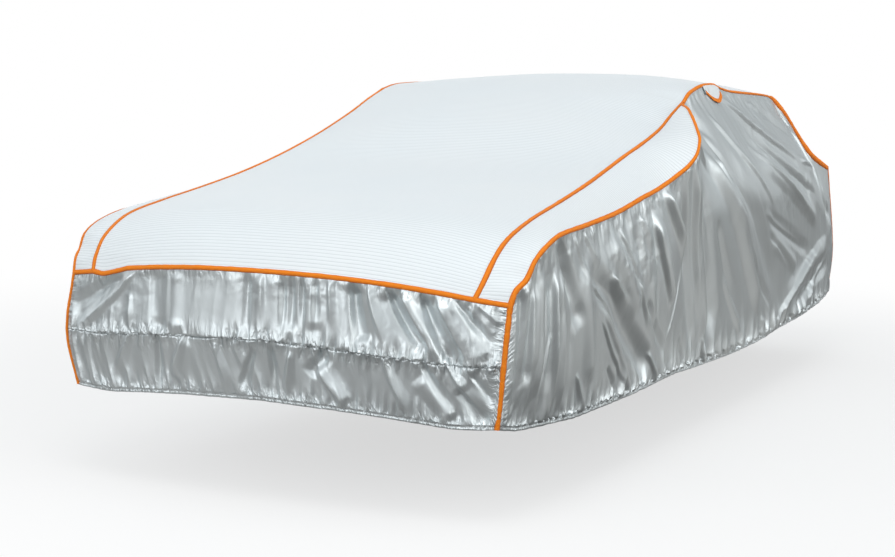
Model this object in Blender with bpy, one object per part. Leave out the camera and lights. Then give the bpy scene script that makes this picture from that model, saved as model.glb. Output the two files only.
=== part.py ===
"""A fitted car cover, in the shape that it has when it is on.

A padded white top panel runs over the whole length, with a padded gore on each side of its front half.
Silver film skirts hang from them at the front, the sides and the rear, and orange tapes bind every seam.

Lengths are in metres. The tables give places as "back", the distance behind the front edge, "out", the
distance from the middle, and "up", the height over the ground that the cover stands clear of.
X points to the cover's left, Y to its rear and Z up. The origin is on the underside of the top panel,
at its highest part, where the cover is held up.
"""

from collections import namedtuple

import bmesh
import bpy
import numpy as np

# ---- Driving dimensions ----
REST_BACK = 3.0  # the place of the origin, measured from the front edge
REST_UP = 1.475  # the height of the top panel's outer face there
PAD = 0.004  # the padded sheet's thickness
FILM = 0.002  # the silver film's thickness, with its backing
TAPE_HALF = 0.009  # half the width of a binding
TAPE_PROUD = 0.0022  # how far a binding's middle stands over the seam
TAPE_EDGE_PROUD = 0.0008
TAPE_DEPTH = 0.0018
TAPE_UNDERCUT = 0.0012  # a binding's inner face is this much narrower at each side
GAP = 0.0003  # between any two pieces
EDGE = TAPE_HALF + GAP  # how far a panel stops short of its seam
CORNER_CLEAR = 0.001  # how much further its corners, and the ends of tapes, stop short
ROOF_JUNCTION = 2.20  # the station at which a gore ends
LENGTH = 4.75  # the last station

# ---- Sections along the length ----
Middle = namedtuple("Middle", "station back up round_power")
Edge = namedtuple("Edge", "station back out up")

TOP_MIDDLE = (
    Middle(0.00, 0.000, 0.785, 2.3),
    Middle(0.08, 0.060, 0.850, 2.5),
    Middle(0.17, 0.150, 0.914, 3.0),
    Middle(0.30, 0.290, 0.962, 3.4),
    Middle(0.75, 0.740, 1.020, 3.0),
    Middle(1.05, 1.040, 1.052, 2.6),
    Middle(1.30, 1.290, 1.100, 2.6),
    Middle(1.80, 1.790, 1.290, 2.8),
    Middle(2.20, 2.200, 1.410, 3.0),
    Middle(2.50, 2.500, 1.448, 3.0),
    Middle(3.00, 3.000, 1.475, 2.8),
    Middle(3.50, 3.500, 1.466, 2.8),
    Middle(3.90, 3.900, 1.436, 2.8),
    Middle(4.15, 4.130, 1.360, 2.8),
    Middle(4.35, 4.330, 1.190, 2.6),
    Middle(4.50, 4.480, 1.105, 2.6),
    Middle(4.75, 4.760, 1.040, 2.6),
)

INNER_SEAM = (
    Edge(0.00, 0.077, 0.718, 0.733),
    Edge(0.08, 0.112, 0.731, 0.785),
    Edge(0.17, 0.172, 0.738, 0.848),
    Edge(0.30, 0.300, 0.737, 0.914),
    Edge(0.50, 0.500, 0.725, 0.957),
    Edge(0.75, 0.730, 0.717, 0.995),
    Edge(1.05, 1.010, 0.710, 1.045),
    Edge(1.55, 1.480, 0.700, 1.145),
    Edge(1.95, 1.890, 0.700, 1.240),
    Edge(2.08, 2.040, 0.700, 1.298),
    Edge(2.20, 2.180, 0.700, 1.347),
)

OUTER_SEAM = (
    Edge(0.00, 0.110, 0.826, 0.719),
    Edge(0.05, 0.130, 0.836, 0.765),
    Edge(0.11, 0.175, 0.852, 0.797),
    Edge(0.20, 0.215, 0.860, 0.848),
    Edge(0.30, 0.290, 0.862, 0.885),
    Edge(0.46, 0.440, 0.856, 0.920),
    Edge(0.75, 0.700, 0.848, 0.936),
    Edge(1.05, 0.980, 0.843, 0.957),
    Edge(1.30, 1.240, 0.846, 0.996),
    Edge(1.55, 1.430, 0.858, 1.030),
    Edge(1.68, 1.570, 0.881, 1.074),
    Edge(1.76, 1.640, 0.911, 1.118),
    Edge(1.82, 1.690, 0.923, 1.160),
    Edge(1.88, 1.740, 0.915, 1.204),
    Edge(1.95, 1.810, 0.881, 1.248),
    Edge(2.02, 1.890, 0.839, 1.288),
    Edge(2.11, 2.020, 0.774, 1.327),
    Edge(2.20, 2.180, 0.700, 1.347),
    Edge(2.35, 2.310, 0.688, 1.392),
    Edge(2.62, 2.600, 0.669, 1.431),
    Edge(2.74, 2.725, 0.661, 1.434),
    Edge(2.86, 2.840, 0.656, 1.422),
    Edge(3.05, 3.050, 0.650, 1.407),
    Edge(3.90, 3.860, 0.600, 1.395),
    Edge(4.07, 4.050, 0.582, 1.386),
    Edge(4.15, 4.100, 0.622, 1.330),
    Edge(4.35, 4.230, 0.702, 1.166),
    Edge(4.44, 4.285, 0.740, 1.100),
    Edge(4.54, 4.380, 0.752, 1.066),
    Edge(4.75, 4.640, 0.760, 1.017),
)

BELT = (
    Edge(0.00, 0.098, 0.814, 0.525),
    Edge(0.22, 0.235, 0.856, 0.590),
    Edge(0.46, 0.440, 0.870, 0.650),
    Edge(0.75, 0.700, 0.874, 0.680),
    Edge(1.30, 1.230, 0.876, 0.700),
    Edge(1.80, 1.700, 0.880, 0.800),
    Edge(2.20, 2.140, 0.876, 0.880),
    Edge(3.50, 3.440, 0.868, 0.900),
    Edge(3.90, 3.830, 0.862, 0.880),
    Edge(4.25, 4.140, 0.850, 0.800),
    Edge(4.52, 4.360, 0.844, 0.660),
    Edge(4.64, 4.490, 0.828, 0.600),
    Edge(4.75, 4.660, 0.800, 0.560),
)

HEM = (
    Edge(0.00, 0.100, 0.797, 0.330),
    Edge(0.22, 0.235, 0.815, 0.310),
    Edge(0.46, 0.440, 0.835, 0.299),
    Edge(0.75, 0.700, 0.845, 0.286),
    Edge(1.30, 1.220, 0.850, 0.283),
    Edge(1.80, 1.700, 0.850, 0.287),
    Edge(2.20, 2.100, 0.850, 0.275),
    Edge(2.62, 2.550, 0.850, 0.265),
    Edge(3.05, 3.000, 0.850, 0.270),
    Edge(3.50, 3.420, 0.850, 0.286),
    Edge(3.90, 3.800, 0.850, 0.298),
    Edge(4.25, 4.120, 0.850, 0.318),
    Edge(4.52, 4.360, 0.836, 0.337),
    Edge(4.64, 4.470, 0.818, 0.336),
    Edge(4.75, 4.600, 0.792, 0.330),
)

# ---- How the right side hangs differently: what is added to the left side's rows ----
INNER_CHANGE = (
    Edge(0.00, 0.0, 0.0, 0.000),
    Edge(1.30, 0.0, 0.0, 0.000),
    Edge(1.55, 0.0, 0.0, 0.012),
    Edge(1.95, 0.0, 0.0, 0.043),
    Edge(2.20, 0.0, 0.0, 0.037),
)
OUTER_CHANGE = (
    Edge(0.00, 0.000, 0.000, 0.000),
    Edge(1.55, 0.020, -0.002, 0.000),
    Edge(1.68, 0.030, -0.021, -0.024),
    Edge(1.76, 0.040, -0.046, -0.050),
    Edge(1.82, 0.050, -0.060, -0.072),
    Edge(1.88, 0.060, -0.060, -0.094),
    Edge(1.95, 0.060, -0.042, -0.098),
    Edge(2.02, 0.070, -0.029, -0.078),
    Edge(2.11, 0.040, -0.014, -0.037),
    Edge(2.20, 0.000, 0.000, 0.037),
    Edge(2.35, 0.000, 0.000, 0.016),
    Edge(2.62, 0.000, 0.000, -0.013),
    Edge(2.74, 0.000, 0.000, -0.019),
    Edge(2.86, 0.000, 0.000, -0.012),
    Edge(3.05, 0.000, 0.000, 0.000),
)
BELT_CHANGE = (
    Edge(0.00, 0.0, 0.034, 0.0),
    Edge(0.22, 0.0, 0.020, 0.0),
    Edge(0.75, 0.0, 0.000, 0.0),
    Edge(1.50, 0.0, 0.000, 0.0),
    Edge(1.85, 0.0, -0.010, 0.0),
    Edge(2.20, 0.0, 0.000, 0.0),
)
HEM_CHANGE = (
    Edge(0.00, 0.0, 0.004, 0.0),
    Edge(0.75, 0.0, 0.000, 0.0),
)

# ---- The front and rear skirts, from the middle to the corner ----
Across = namedtuple("Across", "share ahead up")

FRONT_GATHER = (
    Across(0.00, 0.000, 0.561),
    Across(0.36, -0.004, 0.549),
    Across(0.62, -0.004, 0.535),
    Across(0.84, -0.002, 0.524),
    Across(1.00, 0.000, 0.525),
)
FRONT_HEM = (
    Across(0.00, -0.024, 0.360),
    Across(0.36, -0.024, 0.351),
    Across(0.62, -0.020, 0.338),
    Across(0.84, -0.012, 0.325),
    Across(1.00, 0.000, 0.330),
)
REAR_GATHER = (
    Across(0.00, -0.035, 0.600),
    Across(0.60, -0.025, 0.580),
    Across(1.00, 0.000, 0.560),
)
REAR_HEM = (
    Across(0.00, -0.010, 0.352),
    Across(0.60, -0.008, 0.342),
    Across(1.00, 0.000, 0.330),
)

# ---- Where the front seam sags, close to the right corner ----
Sag = namedtuple("Sag", "out drop")

FRONT_SAG = (
    Sag(-0.718, 0.000),
    Sag(-0.663, 0.020),
    Sag(-0.608, 0.013),
    Sag(-0.552, 0.000),
)

# ---- Main folds: a ridge stands out, a trough sinks in, from one end to the other ----
Fold = namedtuple("Fold", "from_along from_up to_along to_up half_width height")

SIDE_FOLDS = (
    Fold(0.17, 0.82, 0.13, 0.42, 0.045, 0.008),
    Fold(0.22, 0.80, 0.21, 0.45, 0.040, -0.009),
    Fold(0.27, 0.82, 0.28, 0.42, 0.040, 0.009),
    Fold(0.34, 0.80, 0.36, 0.42, 0.045, -0.010),
    Fold(0.41, 0.80, 0.48, 0.36, 0.045, 0.012),
    Fold(0.42, 0.90, 0.60, 0.60, 0.060, -0.018),
    Fold(0.62, 0.80, 0.74, 0.40, 0.070, 0.014),
    Fold(0.70, 0.78, 1.40, 0.34, 0.085, -0.030),
    Fold(0.80, 0.66, 1.18, 0.30, 0.040, 0.012),
    Fold(0.90, 0.88, 1.20, 0.60, 0.075, 0.018),
    Fold(1.16, 0.90, 1.34, 0.55, 0.055, -0.010),
    Fold(1.36, 0.94, 1.58, 0.58, 0.060, 0.020),
    Fold(1.47, 1.02, 1.72, 0.74, 0.055, 0.014),
    Fold(1.62, 0.98, 1.90, 0.36, 0.060, -0.016),
    Fold(1.72, 1.09, 2.06, 0.38, 0.055, 0.022),
    Fold(1.90, 1.02, 2.20, 0.40, 0.110, -0.030),
    Fold(2.10, 1.18, 2.92, 0.42, 0.070, 0.030),
    Fold(2.40, 1.15, 3.20, 0.50, 0.100, -0.012),
    Fold(2.78, 1.36, 4.10, 0.98, 0.060, 0.014),
    Fold(2.86, 1.22, 3.98, 0.86, 0.060, -0.016),
    Fold(2.95, 1.10, 4.00, 0.76, 0.060, 0.016),
    Fold(2.98, 0.84, 3.86, 0.62, 0.055, -0.016),
    Fold(3.10, 0.72, 3.60, 0.56, 0.060, 0.014),
    Fold(3.40, 0.44, 4.30, 0.62, 0.070, 0.014),
    Fold(3.60, 0.36, 4.36, 0.52, 0.050, -0.014),
    Fold(4.20, 0.90, 4.50, 0.74, 0.070, -0.014),
)

FRONT_FOLDS = (
    Fold(-0.56, 0.74, -0.80, 0.56, 0.050, -0.012),
    Fold(-0.41, 0.77, -0.40, 0.55, 0.045, -0.010),
    Fold(-0.33, 0.77, -0.33, 0.56, 0.040, 0.009),
    Fold(-0.05, 0.78, -0.05, 0.58, 0.045, -0.008),
    Fold(0.10, 0.78, 0.11, 0.60, 0.045, -0.008),
    Fold(0.19, 0.78, 0.20, 0.61, 0.045, 0.008),
    Fold(0.33, 0.76, 0.37, 0.58, 0.050, -0.012),
    Fold(0.44, 0.75, 0.57, 0.56, 0.050, -0.013),
    Fold(0.49, 0.75, 0.63, 0.55, 0.045, 0.012),
    Fold(0.55, 0.74, 0.68, 0.50, 0.045, -0.012),
    Fold(0.62, 0.73, 0.76, 0.54, 0.045, 0.011),
    Fold(0.25, 0.54, 0.18, 0.46, 0.040, -0.008),
    Fold(0.22, 0.50, 0.31, 0.38, 0.045, 0.010),
    Fold(-0.29, 0.54, -0.34, 0.40, 0.045, 0.008),
    Fold(0.55, 0.48, 0.66, 0.36, 0.045, 0.010),
    Fold(0.68, 0.46, 0.76, 0.34, 0.045, -0.010),
)

REAR_FOLDS = (
    Fold(-0.62, 0.98, -0.70, 0.50, 0.070, 0.014),
    Fold(-0.40, 1.02, -0.34, 0.66, 0.060, -0.012),
    Fold(-0.12, 1.00, -0.20, 0.60, 0.070, 0.010),
    Fold(0.16, 1.02, 0.22, 0.66, 0.060, -0.012),
    Fold(0.40, 1.00, 0.36, 0.60, 0.060, 0.012),
    Fold(0.60, 0.98, 0.68, 0.56, 0.060, -0.012),
)

# ---- How finely the sheets are cut up: from station to station ----
Span = namedtuple("Span", "start end steps")

STATION_SPANS = (
    Span(0.00, 0.46, 10),
    Span(0.46, 1.55, 15),
    Span(1.55, 2.20, 13),
    Span(2.20, 4.07, 22),
    Span(4.07, LENGTH, 11),
)
TOP_SHARES = (-1.0, -0.92, -0.72, -0.40, 0.0, 0.40, 0.72, 0.92, 1.0)
GORE_SHARES = (0.0, 0.35, 0.7, 1.0)
CORNER_SHARES = (0.0, 0.10, 0.22, 0.34, 0.44, 0.50, 0.56, 0.68, 0.84, 1.0)
GATHER_SHARE = 0.50  # the row that the line of elastic draws in
EVEN_REACH = 0.6  # how far from a corner the rows of a side skirt take to space themselves evenly
FRONT_STEPS = 26  # along the top panel's front edge
TAIL_STEPS = 20
RIGHT_SIDE_SHIFT = 0.13  # the right side's folds lie this much further back than the left side's

# ---- The tab at the front of the roof edge, on the left side ----
TAB_START = 2.53
TAB_END = 2.84
TAB_DEPTH = 0.046
TAB_TAPE = 0.012
TAB_THICKNESS = 0.003
TAB_LIFT = 0.004
TAB_STEPS = 8
TAB_LEAST = 0.35  # the share of its depth, and of its lift, that it keeps where it is least

# ---- Roughly which way is outward ----
FORWARD = np.array([0.0, -1.0, 0.0])
REARWARD = np.array([0.0, 1.0, 0.0])
SIDEWAYS = np.array([1.0, 0.0, 0.0])
UPWARD = np.array([0.0, 0.0, 1.0])
FRONT_SEAM_WAY = FORWARD + 0.4 * UPWARD
TAIL_SEAM_WAY = REARWARD + 0.4 * UPWARD
GORE_WAY = UPWARD + 0.2 * SIDEWAYS
CORE_UP = -0.6  # the height of the line along the cover's middle that its sides face away from
CORE_BACK_SHARE = 0.12

# ---- Small shape rules ----
GORE_CROWN = 0.28 * np.array([0.3, 0.0, 0.95])  # how a gore rises between its seams, as a share of its width
FOLD_END = 0.2  # the share of a fold's length over which it fades out at each end
MERGE = 0.00001
SHARP_ANGLE = 0.9

# ---- Colours, as linear values ----
WHITE = (0.80, 0.84, 0.86, 1.0)
SILVER = (0.42, 0.44, 0.44, 1.0)
ORANGE = (0.85, 0.25, 0.03, 1.0)


# ---- Curves ----
def slopes(at, value):
    """The slope at each row that keeps a smooth curve from swinging past its rows."""
    step = np.diff(at)
    rise = np.diff(value) / step
    slope = np.zeros(len(at))
    for i in range(1, len(at) - 1):
        before, after = rise[i - 1], rise[i]
        if before * after > 0:
            w1 = 2 * step[i] + step[i - 1]
            w2 = step[i] + 2 * step[i - 1]
            slope[i] = (w1 + w2) / (w1 / before + w2 / after)
    slope[0] = rise[0]
    slope[-1] = rise[-1]
    return slope


def curve(at, value, where):
    """A smooth curve through the rows, read at each place in where."""
    at, value = np.asarray(at, float), np.asarray(value, float)
    slope = slopes(at, value)
    where = np.clip(np.asarray(where, float), at[0], at[-1])
    i = np.clip(np.searchsorted(at, where, side="right") - 1, 0, len(at) - 2)
    step = at[i + 1] - at[i]
    t = (where - at[i]) / step
    near = value[i] * (1 + 2 * t) * (1 - t) ** 2 + slope[i] * step * t * (1 - t) ** 2
    far = value[i + 1] * t**2 * (3 - 2 * t) - slope[i + 1] * step * t**2 * (1 - t)
    return near + far


def read(table, name, where):
    """One named column of a table as a smooth curve of its first column."""
    return curve([row[0] for row in table], [getattr(row, name) for row in table], where)


def changed(table, change):
    """A table of edge rows with another one's values added at its stations."""
    rows = []
    for row in table:
        back, out, up = (float(read(change, name, row.station)) for name in ("back", "out", "up"))
        rows.append(Edge(row.station, row.back + back, row.out + out, row.up + up))
    return tuple(rows)


Lines = namedtuple("Lines", "inner outer belt hem")
LEFT = Lines(INNER_SEAM, OUTER_SEAM, BELT, HEM)
RIGHT = Lines(
    changed(INNER_SEAM, INNER_CHANGE),
    changed(OUTER_SEAM, OUTER_CHANGE),
    changed(BELT, BELT_CHANGE),
    changed(HEM, HEM_CHANGE),
)


def place(out, back, up):
    """A point in the cover's own frame."""
    out, back, up = np.broadcast_arrays(out, back, up)
    return np.stack([out, back - REST_BACK, up - (REST_UP - PAD)], axis=-1)


def edge_line(table, station):
    return place(read(table, "out", station), read(table, "back", station), read(table, "up", station))


def unit(v):
    return v / np.maximum(np.linalg.norm(v, axis=-1, keepdims=True), 1e-12)


def smooth(t):
    t = np.clip(t, 0, 1)
    return t * t * (3 - 2 * t)


def mirrored(points):
    return np.asarray(points) * np.array([-1.0, 1.0, 1.0])


def turned(points):
    """A line or a grid that runs from right to left, as it is on a cover whose sides are swapped."""
    return mirrored(np.flip(points, axis=-2))


def stations():
    pieces = [np.linspace(s.start, s.end, s.steps, endpoint=False) for s in STATION_SPANS]
    return np.append(np.concatenate(pieces), LENGTH)


# ---- The surfaces, before they are trimmed to their seams ----
def half_row(lines, station, shares):
    """Points across the top panel at one station, worked out for the side that has these lines."""
    edges = lines.inner if station <= ROOF_JUNCTION else lines.outer
    out, back, up = (read(edges, name, station) for name in ("out", "back", "up"))
    mid_back, mid_up, power = (read(TOP_MIDDLE, name, station) for name in ("back", "up", "round_power"))
    bent = np.abs(shares) ** power
    return place(out * shares, mid_back + (back - mid_back) * bent, mid_up + (up - mid_up) * bent)


def top_row(station, shares):
    """Points across the top panel at one station, from the right edge to the left."""
    shares = np.asarray(shares)
    right, left = half_row(RIGHT, station, shares), half_row(LEFT, station, shares)
    return np.where(shares[:, None] < 0, right, left)


def gore_row(lines, station, shares):
    """Points across a gore at one station, from its inner seam to its outer seam."""
    inner, outer = edge_line(lines.inner, station), edge_line(lines.outer, station)
    shares = np.asarray(shares)[:, None]
    crown = GORE_CROWN * np.linalg.norm(outer - inner)
    return inner + (outer - inner) * shares + crown * shares * (1 - shares)


def away_from_corners(station):
    return min(smooth(station / EVEN_REACH), smooth((LENGTH - station) / EVEN_REACH))


def side_column(lines, station):
    """Points down a side skirt at one station, from its seam to its hem."""
    seam, belt, hem = (edge_line(table, station) for table in (lines.outer, lines.belt, lines.hem))
    upper = np.linalg.norm(belt - seam)
    mix = away_from_corners(station)
    middle = GATHER_SHARE * (1 - mix) + upper / (upper + np.linalg.norm(hem - belt)) * mix
    shares = np.asarray(CORNER_SHARES) * (1 - mix) + np.linspace(0, 1, len(CORNER_SHARES)) * mix
    levels = zip(seam, belt, hem)
    return np.stack([curve([0, middle, 1], level, shares) for level in levels], axis=-1)


def skirt_grid(top_edge, left_corner, right_corner, gather, hem, way):
    """Rows down a front or rear skirt, from the right corner to the left one; way is -1 at the front."""
    on_right = top_edge[:, 0] < 0
    share = top_edge[:, 0] / np.where(on_right, top_edge[0, 0], top_edge[-1, 0])
    across = np.linspace(0, 1, len(top_edge))
    rows = []
    for down, left, right in zip(CORNER_SHARES, left_corner, mirrored(right_corner)):
        upper = min(down / GATHER_SHARE, 1.0)
        lower = max((down - GATHER_SHARE) / (1 - GATHER_SHARE), 0.0)
        ahead = read(gather, "ahead", share) * (upper - lower) + read(hem, "ahead", share) * lower
        up = (
            (top_edge[:, 2] + REST_UP - PAD) * (1 - upper)
            + read(gather, "up", share) * (upper - lower)
            + read(hem, "up", share) * lower
        )
        moved_right, moved_left = right[1] - top_edge[0, 1], left[1] - top_edge[-1, 1]
        row = top_edge.copy()
        row[:, 0] *= np.where(on_right, right[0] / top_edge[0, 0], left[0] / top_edge[-1, 0])
        row[:, 1] += moved_right * (1 - across) + moved_left * across + way * ahead
        row[:, 2] = up - (REST_UP - PAD)
        row[0], row[-1] = right, left
        rows.append(row)
    return np.array(rows)


# ---- Folds ----
def fold_height(folds, along, up):
    """How far the folds move each point outwards."""
    total = np.zeros(np.shape(along))
    for fold in folds:
        start = np.array([fold.from_along, fold.from_up])
        line = np.array([fold.to_along, fold.to_up]) - start
        length = np.hypot(*line)
        rel_a, rel_u = along - start[0], up - start[1]
        t = (rel_a * line[0] + rel_u * line[1]) / length**2
        away = np.abs(rel_a * line[1] - rel_u * line[0]) / length / fold.half_width
        across = np.where(away < 1, np.cos(np.minimum(away, 1) * np.pi / 2) ** 2, 0)
        fade = smooth(t / FOLD_END + FOLD_END) * smooth((1 - t) / FOLD_END + FOLD_END)
        total += fold.height * across * fade
    return total


def grid_normals(grid, outward):
    """The direction square to the surface at each point of a grid, on the outward side."""
    down, along = np.gradient(grid, axis=0), np.gradient(grid, axis=1)
    normal = unit(np.cross(down, along))
    flip = np.sign((normal * outward).sum(-1, keepdims=True))
    return normal * np.where(flip == 0, 1, flip)


def fold_grid(grid, folds, along, outward):
    """Moves a grid's inner points, and those of its hem row, by its folds."""
    move = fold_height(folds, along, grid[..., 2] + REST_UP - PAD)
    move[0] = 0
    move[:, 0] = 0
    move[:, -1] = 0
    return grid + grid_normals(grid, outward) * move[..., None]


def from_core(points):
    """Roughly the outward direction at each point of the cover: away from a line along its middle."""
    away = np.array(points)
    away[..., 1] *= CORE_BACK_SHARE
    away[..., 2] -= CORE_UP
    return unit(away)


# ---- Solids ----
def strip(upper, lower):
    """Triangles between two rows of point numbers, which may differ in how many they hold."""
    faces = []
    i = j = 0
    while i < len(upper) - 1 or j < len(lower) - 1:
        up_next = (i + 1) / max(len(upper) - 1, 1)
        low_next = (j + 1) / max(len(lower) - 1, 1)
        if i < len(upper) - 1 and (up_next <= low_next or j == len(lower) - 1):
            faces.append((upper[i], lower[j], upper[i + 1]))
            i += 1
        else:
            faces.append((upper[i], lower[j], lower[j + 1]))
            j += 1
    return faces


def vertex_normals(points, faces):
    a, b, c = (points[faces[:, k]] for k in range(3))
    face_normal = np.cross(b - a, c - a)
    normal = np.zeros_like(points)
    for k in range(3):
        np.add.at(normal, faces[:, k], face_normal)
    return unit(normal)


def rim_of(numbers):
    """The point numbers round the edge of a sheet, from those of its rows."""
    middle = numbers[1:-1]
    rim = numbers[0] + [row[-1] for row in middle] + numbers[-1][::-1] + [row[0] for row in middle][::-1]
    return [p for p, q in zip(rim, rim[1:] + rim[:1]) if p != q]


def sheet_mesh(rows, thickness, outward):
    """A closed sheet of even thickness from rows of points on its outer face."""
    starts = np.cumsum([0] + [len(row) for row in rows])
    points = np.concatenate(rows)
    numbers = [list(range(a, b)) for a, b in zip(starts[:-1], starts[1:])]
    faces = np.array([face for pair in zip(numbers[:-1], numbers[1:]) for face in strip(*pair)])
    normal = vertex_normals(points, faces)
    if (normal * outward).sum() < 0:
        faces, normal = faces[:, ::-1], -normal
    rim = rim_of(numbers)
    count = len(points)
    directed = {(f[k], f[(k + 1) % 3]) for f in faces for k in range(3)}
    solid = [tuple(f) for f in faces] + [tuple(f[::-1] + count) for f in faces]
    for p, q in zip(rim, rim[1:] + rim[:1]):
        if (p, q) in directed:
            p, q = q, p
        solid += [(p, q, q + count), (p, q + count, p + count)]
    return np.concatenate([points, points - normal * thickness]), solid


def tape_mesh(rings):
    """A closed tape from rings of five points: outer edge, middle, outer edge, inner edge, inner edge."""
    rings = np.asarray(rings)
    count, sides = rings.shape[:2]
    faces = []
    for i in range(count - 1):
        for k in range(sides):
            a, b = i * sides + k, i * sides + (k + 1) % sides
            faces += [(a, b, b + sides), (a, b + sides, a + sides)]
    last = (count - 1) * sides
    for k in range(1, sides - 1):
        faces.append((0, k + 1, k))
        faces.append((last, last + k, last + k + 1))
    return rings.reshape(-1, 3), faces


def facing(tangent, side, out):
    """The direction square to a panel at its seam."""
    normal = unit(np.cross(tangent, side))
    return normal if normal @ out > 0 else -normal


def tape_ring(point, tangent, a, b, out):
    normal_a, normal_b = facing(tangent, a, out), facing(tangent, b, out)
    middle = unit(normal_a + normal_b)
    inner = TAPE_HALF - TAPE_UNDERCUT
    return [
        point + a * TAPE_HALF + normal_a * TAPE_EDGE_PROUD,
        point + middle * TAPE_PROUD,
        point + b * TAPE_HALF + normal_b * TAPE_EDGE_PROUD,
        point + b * inner - normal_b * TAPE_DEPTH,
        point + a * inner - normal_a * TAPE_DEPTH,
    ]


def tape_rings(line, toward_a, toward_b, outward):
    """Rings of a tape that lies along a seam and over the edges of the panels a and b."""
    along = unit(np.gradient(line, axis=0))
    return [tape_ring(*at_point) for at_point in zip(line, along, toward_a, toward_b, outward)]


def toward(line, neighbours):
    """At each point of a seam, the direction into a panel, square to the seam."""
    along = unit(np.gradient(line, axis=0))
    way = neighbours - line
    return unit(way - along * (way * along).sum(-1, keepdims=True))


def corner(point, first, second):
    """The panel's corner that stands clear of two tapes."""
    return point + (first + second) * (EDGE + CORNER_CLEAR) / (1 + first @ second)


def meeting(line_a, line_b):
    """Where two lines of points first cross, seen from above, as a row on each, counted in fractions."""
    for i in range(len(line_a) - 1):
        for k in range(len(line_b) - 1):
            a, b = line_a[i, :2], line_b[k, :2]
            along_a, along_b = line_a[i + 1, :2] - a, line_b[k + 1, :2] - b
            area = along_a[0] * along_b[1] - along_a[1] * along_b[0]
            apart = b - a
            share_a = (apart[0] * along_b[1] - apart[1] * along_b[0]) / area
            share_b = (apart[0] * along_a[1] - apart[1] * along_a[0]) / area
            if 0 <= share_a <= 1 and 0 <= share_b <= 1:
                return i + share_a, k + share_b
    return len(line_a) - 1.0, len(line_b) - 1.0


def read_row(line, row):
    """A point on a line of points, at a row counted in fractions."""
    before = int(min(row, len(line) - 2))
    return line[before] + (line[before + 1] - line[before]) * (row - before)


def cut_end(ring, point, way, along):
    """A tape's end ring, slid along the tape until it lies clear of another tape that runs past it."""
    clear = EDGE + CORNER_CLEAR
    return [q + along * (clear - (q - point) @ way) / (along @ way) for q in ring]


# ---- The whole cover's surfaces, and the seams of each side ----
class Side:
    """The gore and the skirt of one side, worked out as if that side were the left one."""

    def __init__(self, lines, at, fold_shift):
        self.gore = np.array([gore_row(lines, s, GORE_SHARES) for s in at if s <= ROOF_JUNCTION])
        plain = np.array([side_column(lines, s) for s in at]).transpose(1, 0, 2)
        along = plain[..., 1] + REST_BACK - fold_shift
        self.skirt = fold_grid(plain, SIDE_FOLDS, along, from_core(plain))


class Cover:
    """All the surfaces, which share their edge points. Rows that cross the cover run from right to left."""

    def __init__(self):
        at = stations()
        self.at = at
        self.junction = int(np.argmin(np.abs(at - ROOF_JUNCTION)))
        self.left = Side(LEFT, at, 0.0)
        self.right = Side(RIGHT, at, RIGHT_SIDE_SHIFT)
        fine = np.linspace(-1, 1, FRONT_STEPS + 1)
        tail = np.linspace(-1, 1, TAIL_STEPS + 1)
        self.top = np.array([top_row(s, TOP_SHARES) for s in at])
        self.front_top = top_row(at[0], fine)
        self.front_top[:, 2] -= read(FRONT_SAG, "drop", self.front_top[:, 0])
        self.front_edge = self.with_gores(0, self.front_top)
        self.behind_front_edge = self.with_gores(1, top_row(at[1], fine))
        self.tail_edge = top_row(at[-1], tail)
        self.before_tail_edge = top_row(at[-2], tail)
        left, right = self.left.skirt, self.right.skirt
        front = skirt_grid(self.front_edge, left[:, 0], right[:, 0], FRONT_GATHER, FRONT_HEM, -1)
        rear = skirt_grid(self.tail_edge, left[:, -1], right[:, -1], REAR_GATHER, REAR_HEM, 1)
        self.front = fold_grid(front, FRONT_FOLDS, front[..., 0], FORWARD)
        self.rear = fold_grid(rear, REAR_FOLDS, rear[..., 0], REARWARD)

    def with_gores(self, row, middle):
        return np.concatenate([turned(self.right.gore[row][1:]), middle, self.left.gore[row][1:]])


class Seams:
    """The seams of one side, and the way from each into the panels, as if that side were the left one."""

    def __init__(self, cover, side, turn):
        self.turn = turn
        skirt, j = side.skirt, cover.junction
        top, front, rear = turn(cover.top), turn(cover.front), turn(cover.rear)
        rows = len(CORNER_SHARES) - 1
        self.corner_at, self.tail_at = rows, rows + len(cover.at) - 1
        self.line = np.concatenate([skirt[::-1, 0], skirt[0, 1:], skirt[1:, -1]])
        into_side = [skirt[:0:-1, 1], skirt[1:2, 1], skirt[1, 1:-1], skirt[1:2, -2], skirt[1:, -2]]
        into_rest = [front[:0:-1, -2], front[:1, -2], side.gore[1:j, -2], top[j:-1, -2], rear[:, -2]]
        self.to_side = toward(self.line, np.concatenate(into_side))
        self.to_rest = toward(self.line, np.concatenate(into_rest))
        self.inner = side.gore[:, 0]
        self.inner_to_top = toward(self.inner, top[: j + 1, -2])
        into_gore = np.append(side.gore[:-1, 1], side.gore[-2:-1, -1], axis=0)
        self.inner_to_gore = toward(self.inner, into_gore)
        self.outer = self.line[rows : rows + j + 1]
        self.outer_to_gore = self.to_rest[rows : rows + j + 1]


# ---- The cover's pieces ----
def side_skirt(side, seams):
    rows = side.skirt.copy()
    first, last = seams.corner_at, seams.tail_at
    rows[0] += EDGE * seams.to_side[first : last + 1]
    rows[1:, 0] += EDGE * seams.to_side[:first][::-1]
    rows[1:, -1] += EDGE * seams.to_side[last + 1 :]
    return sheet_mesh(list(rows), FILM, SIDEWAYS)


def side_binding(seams):
    return tape_mesh(tape_rings(seams.line, seams.to_rest, seams.to_side, from_core(seams.line)))


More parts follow.
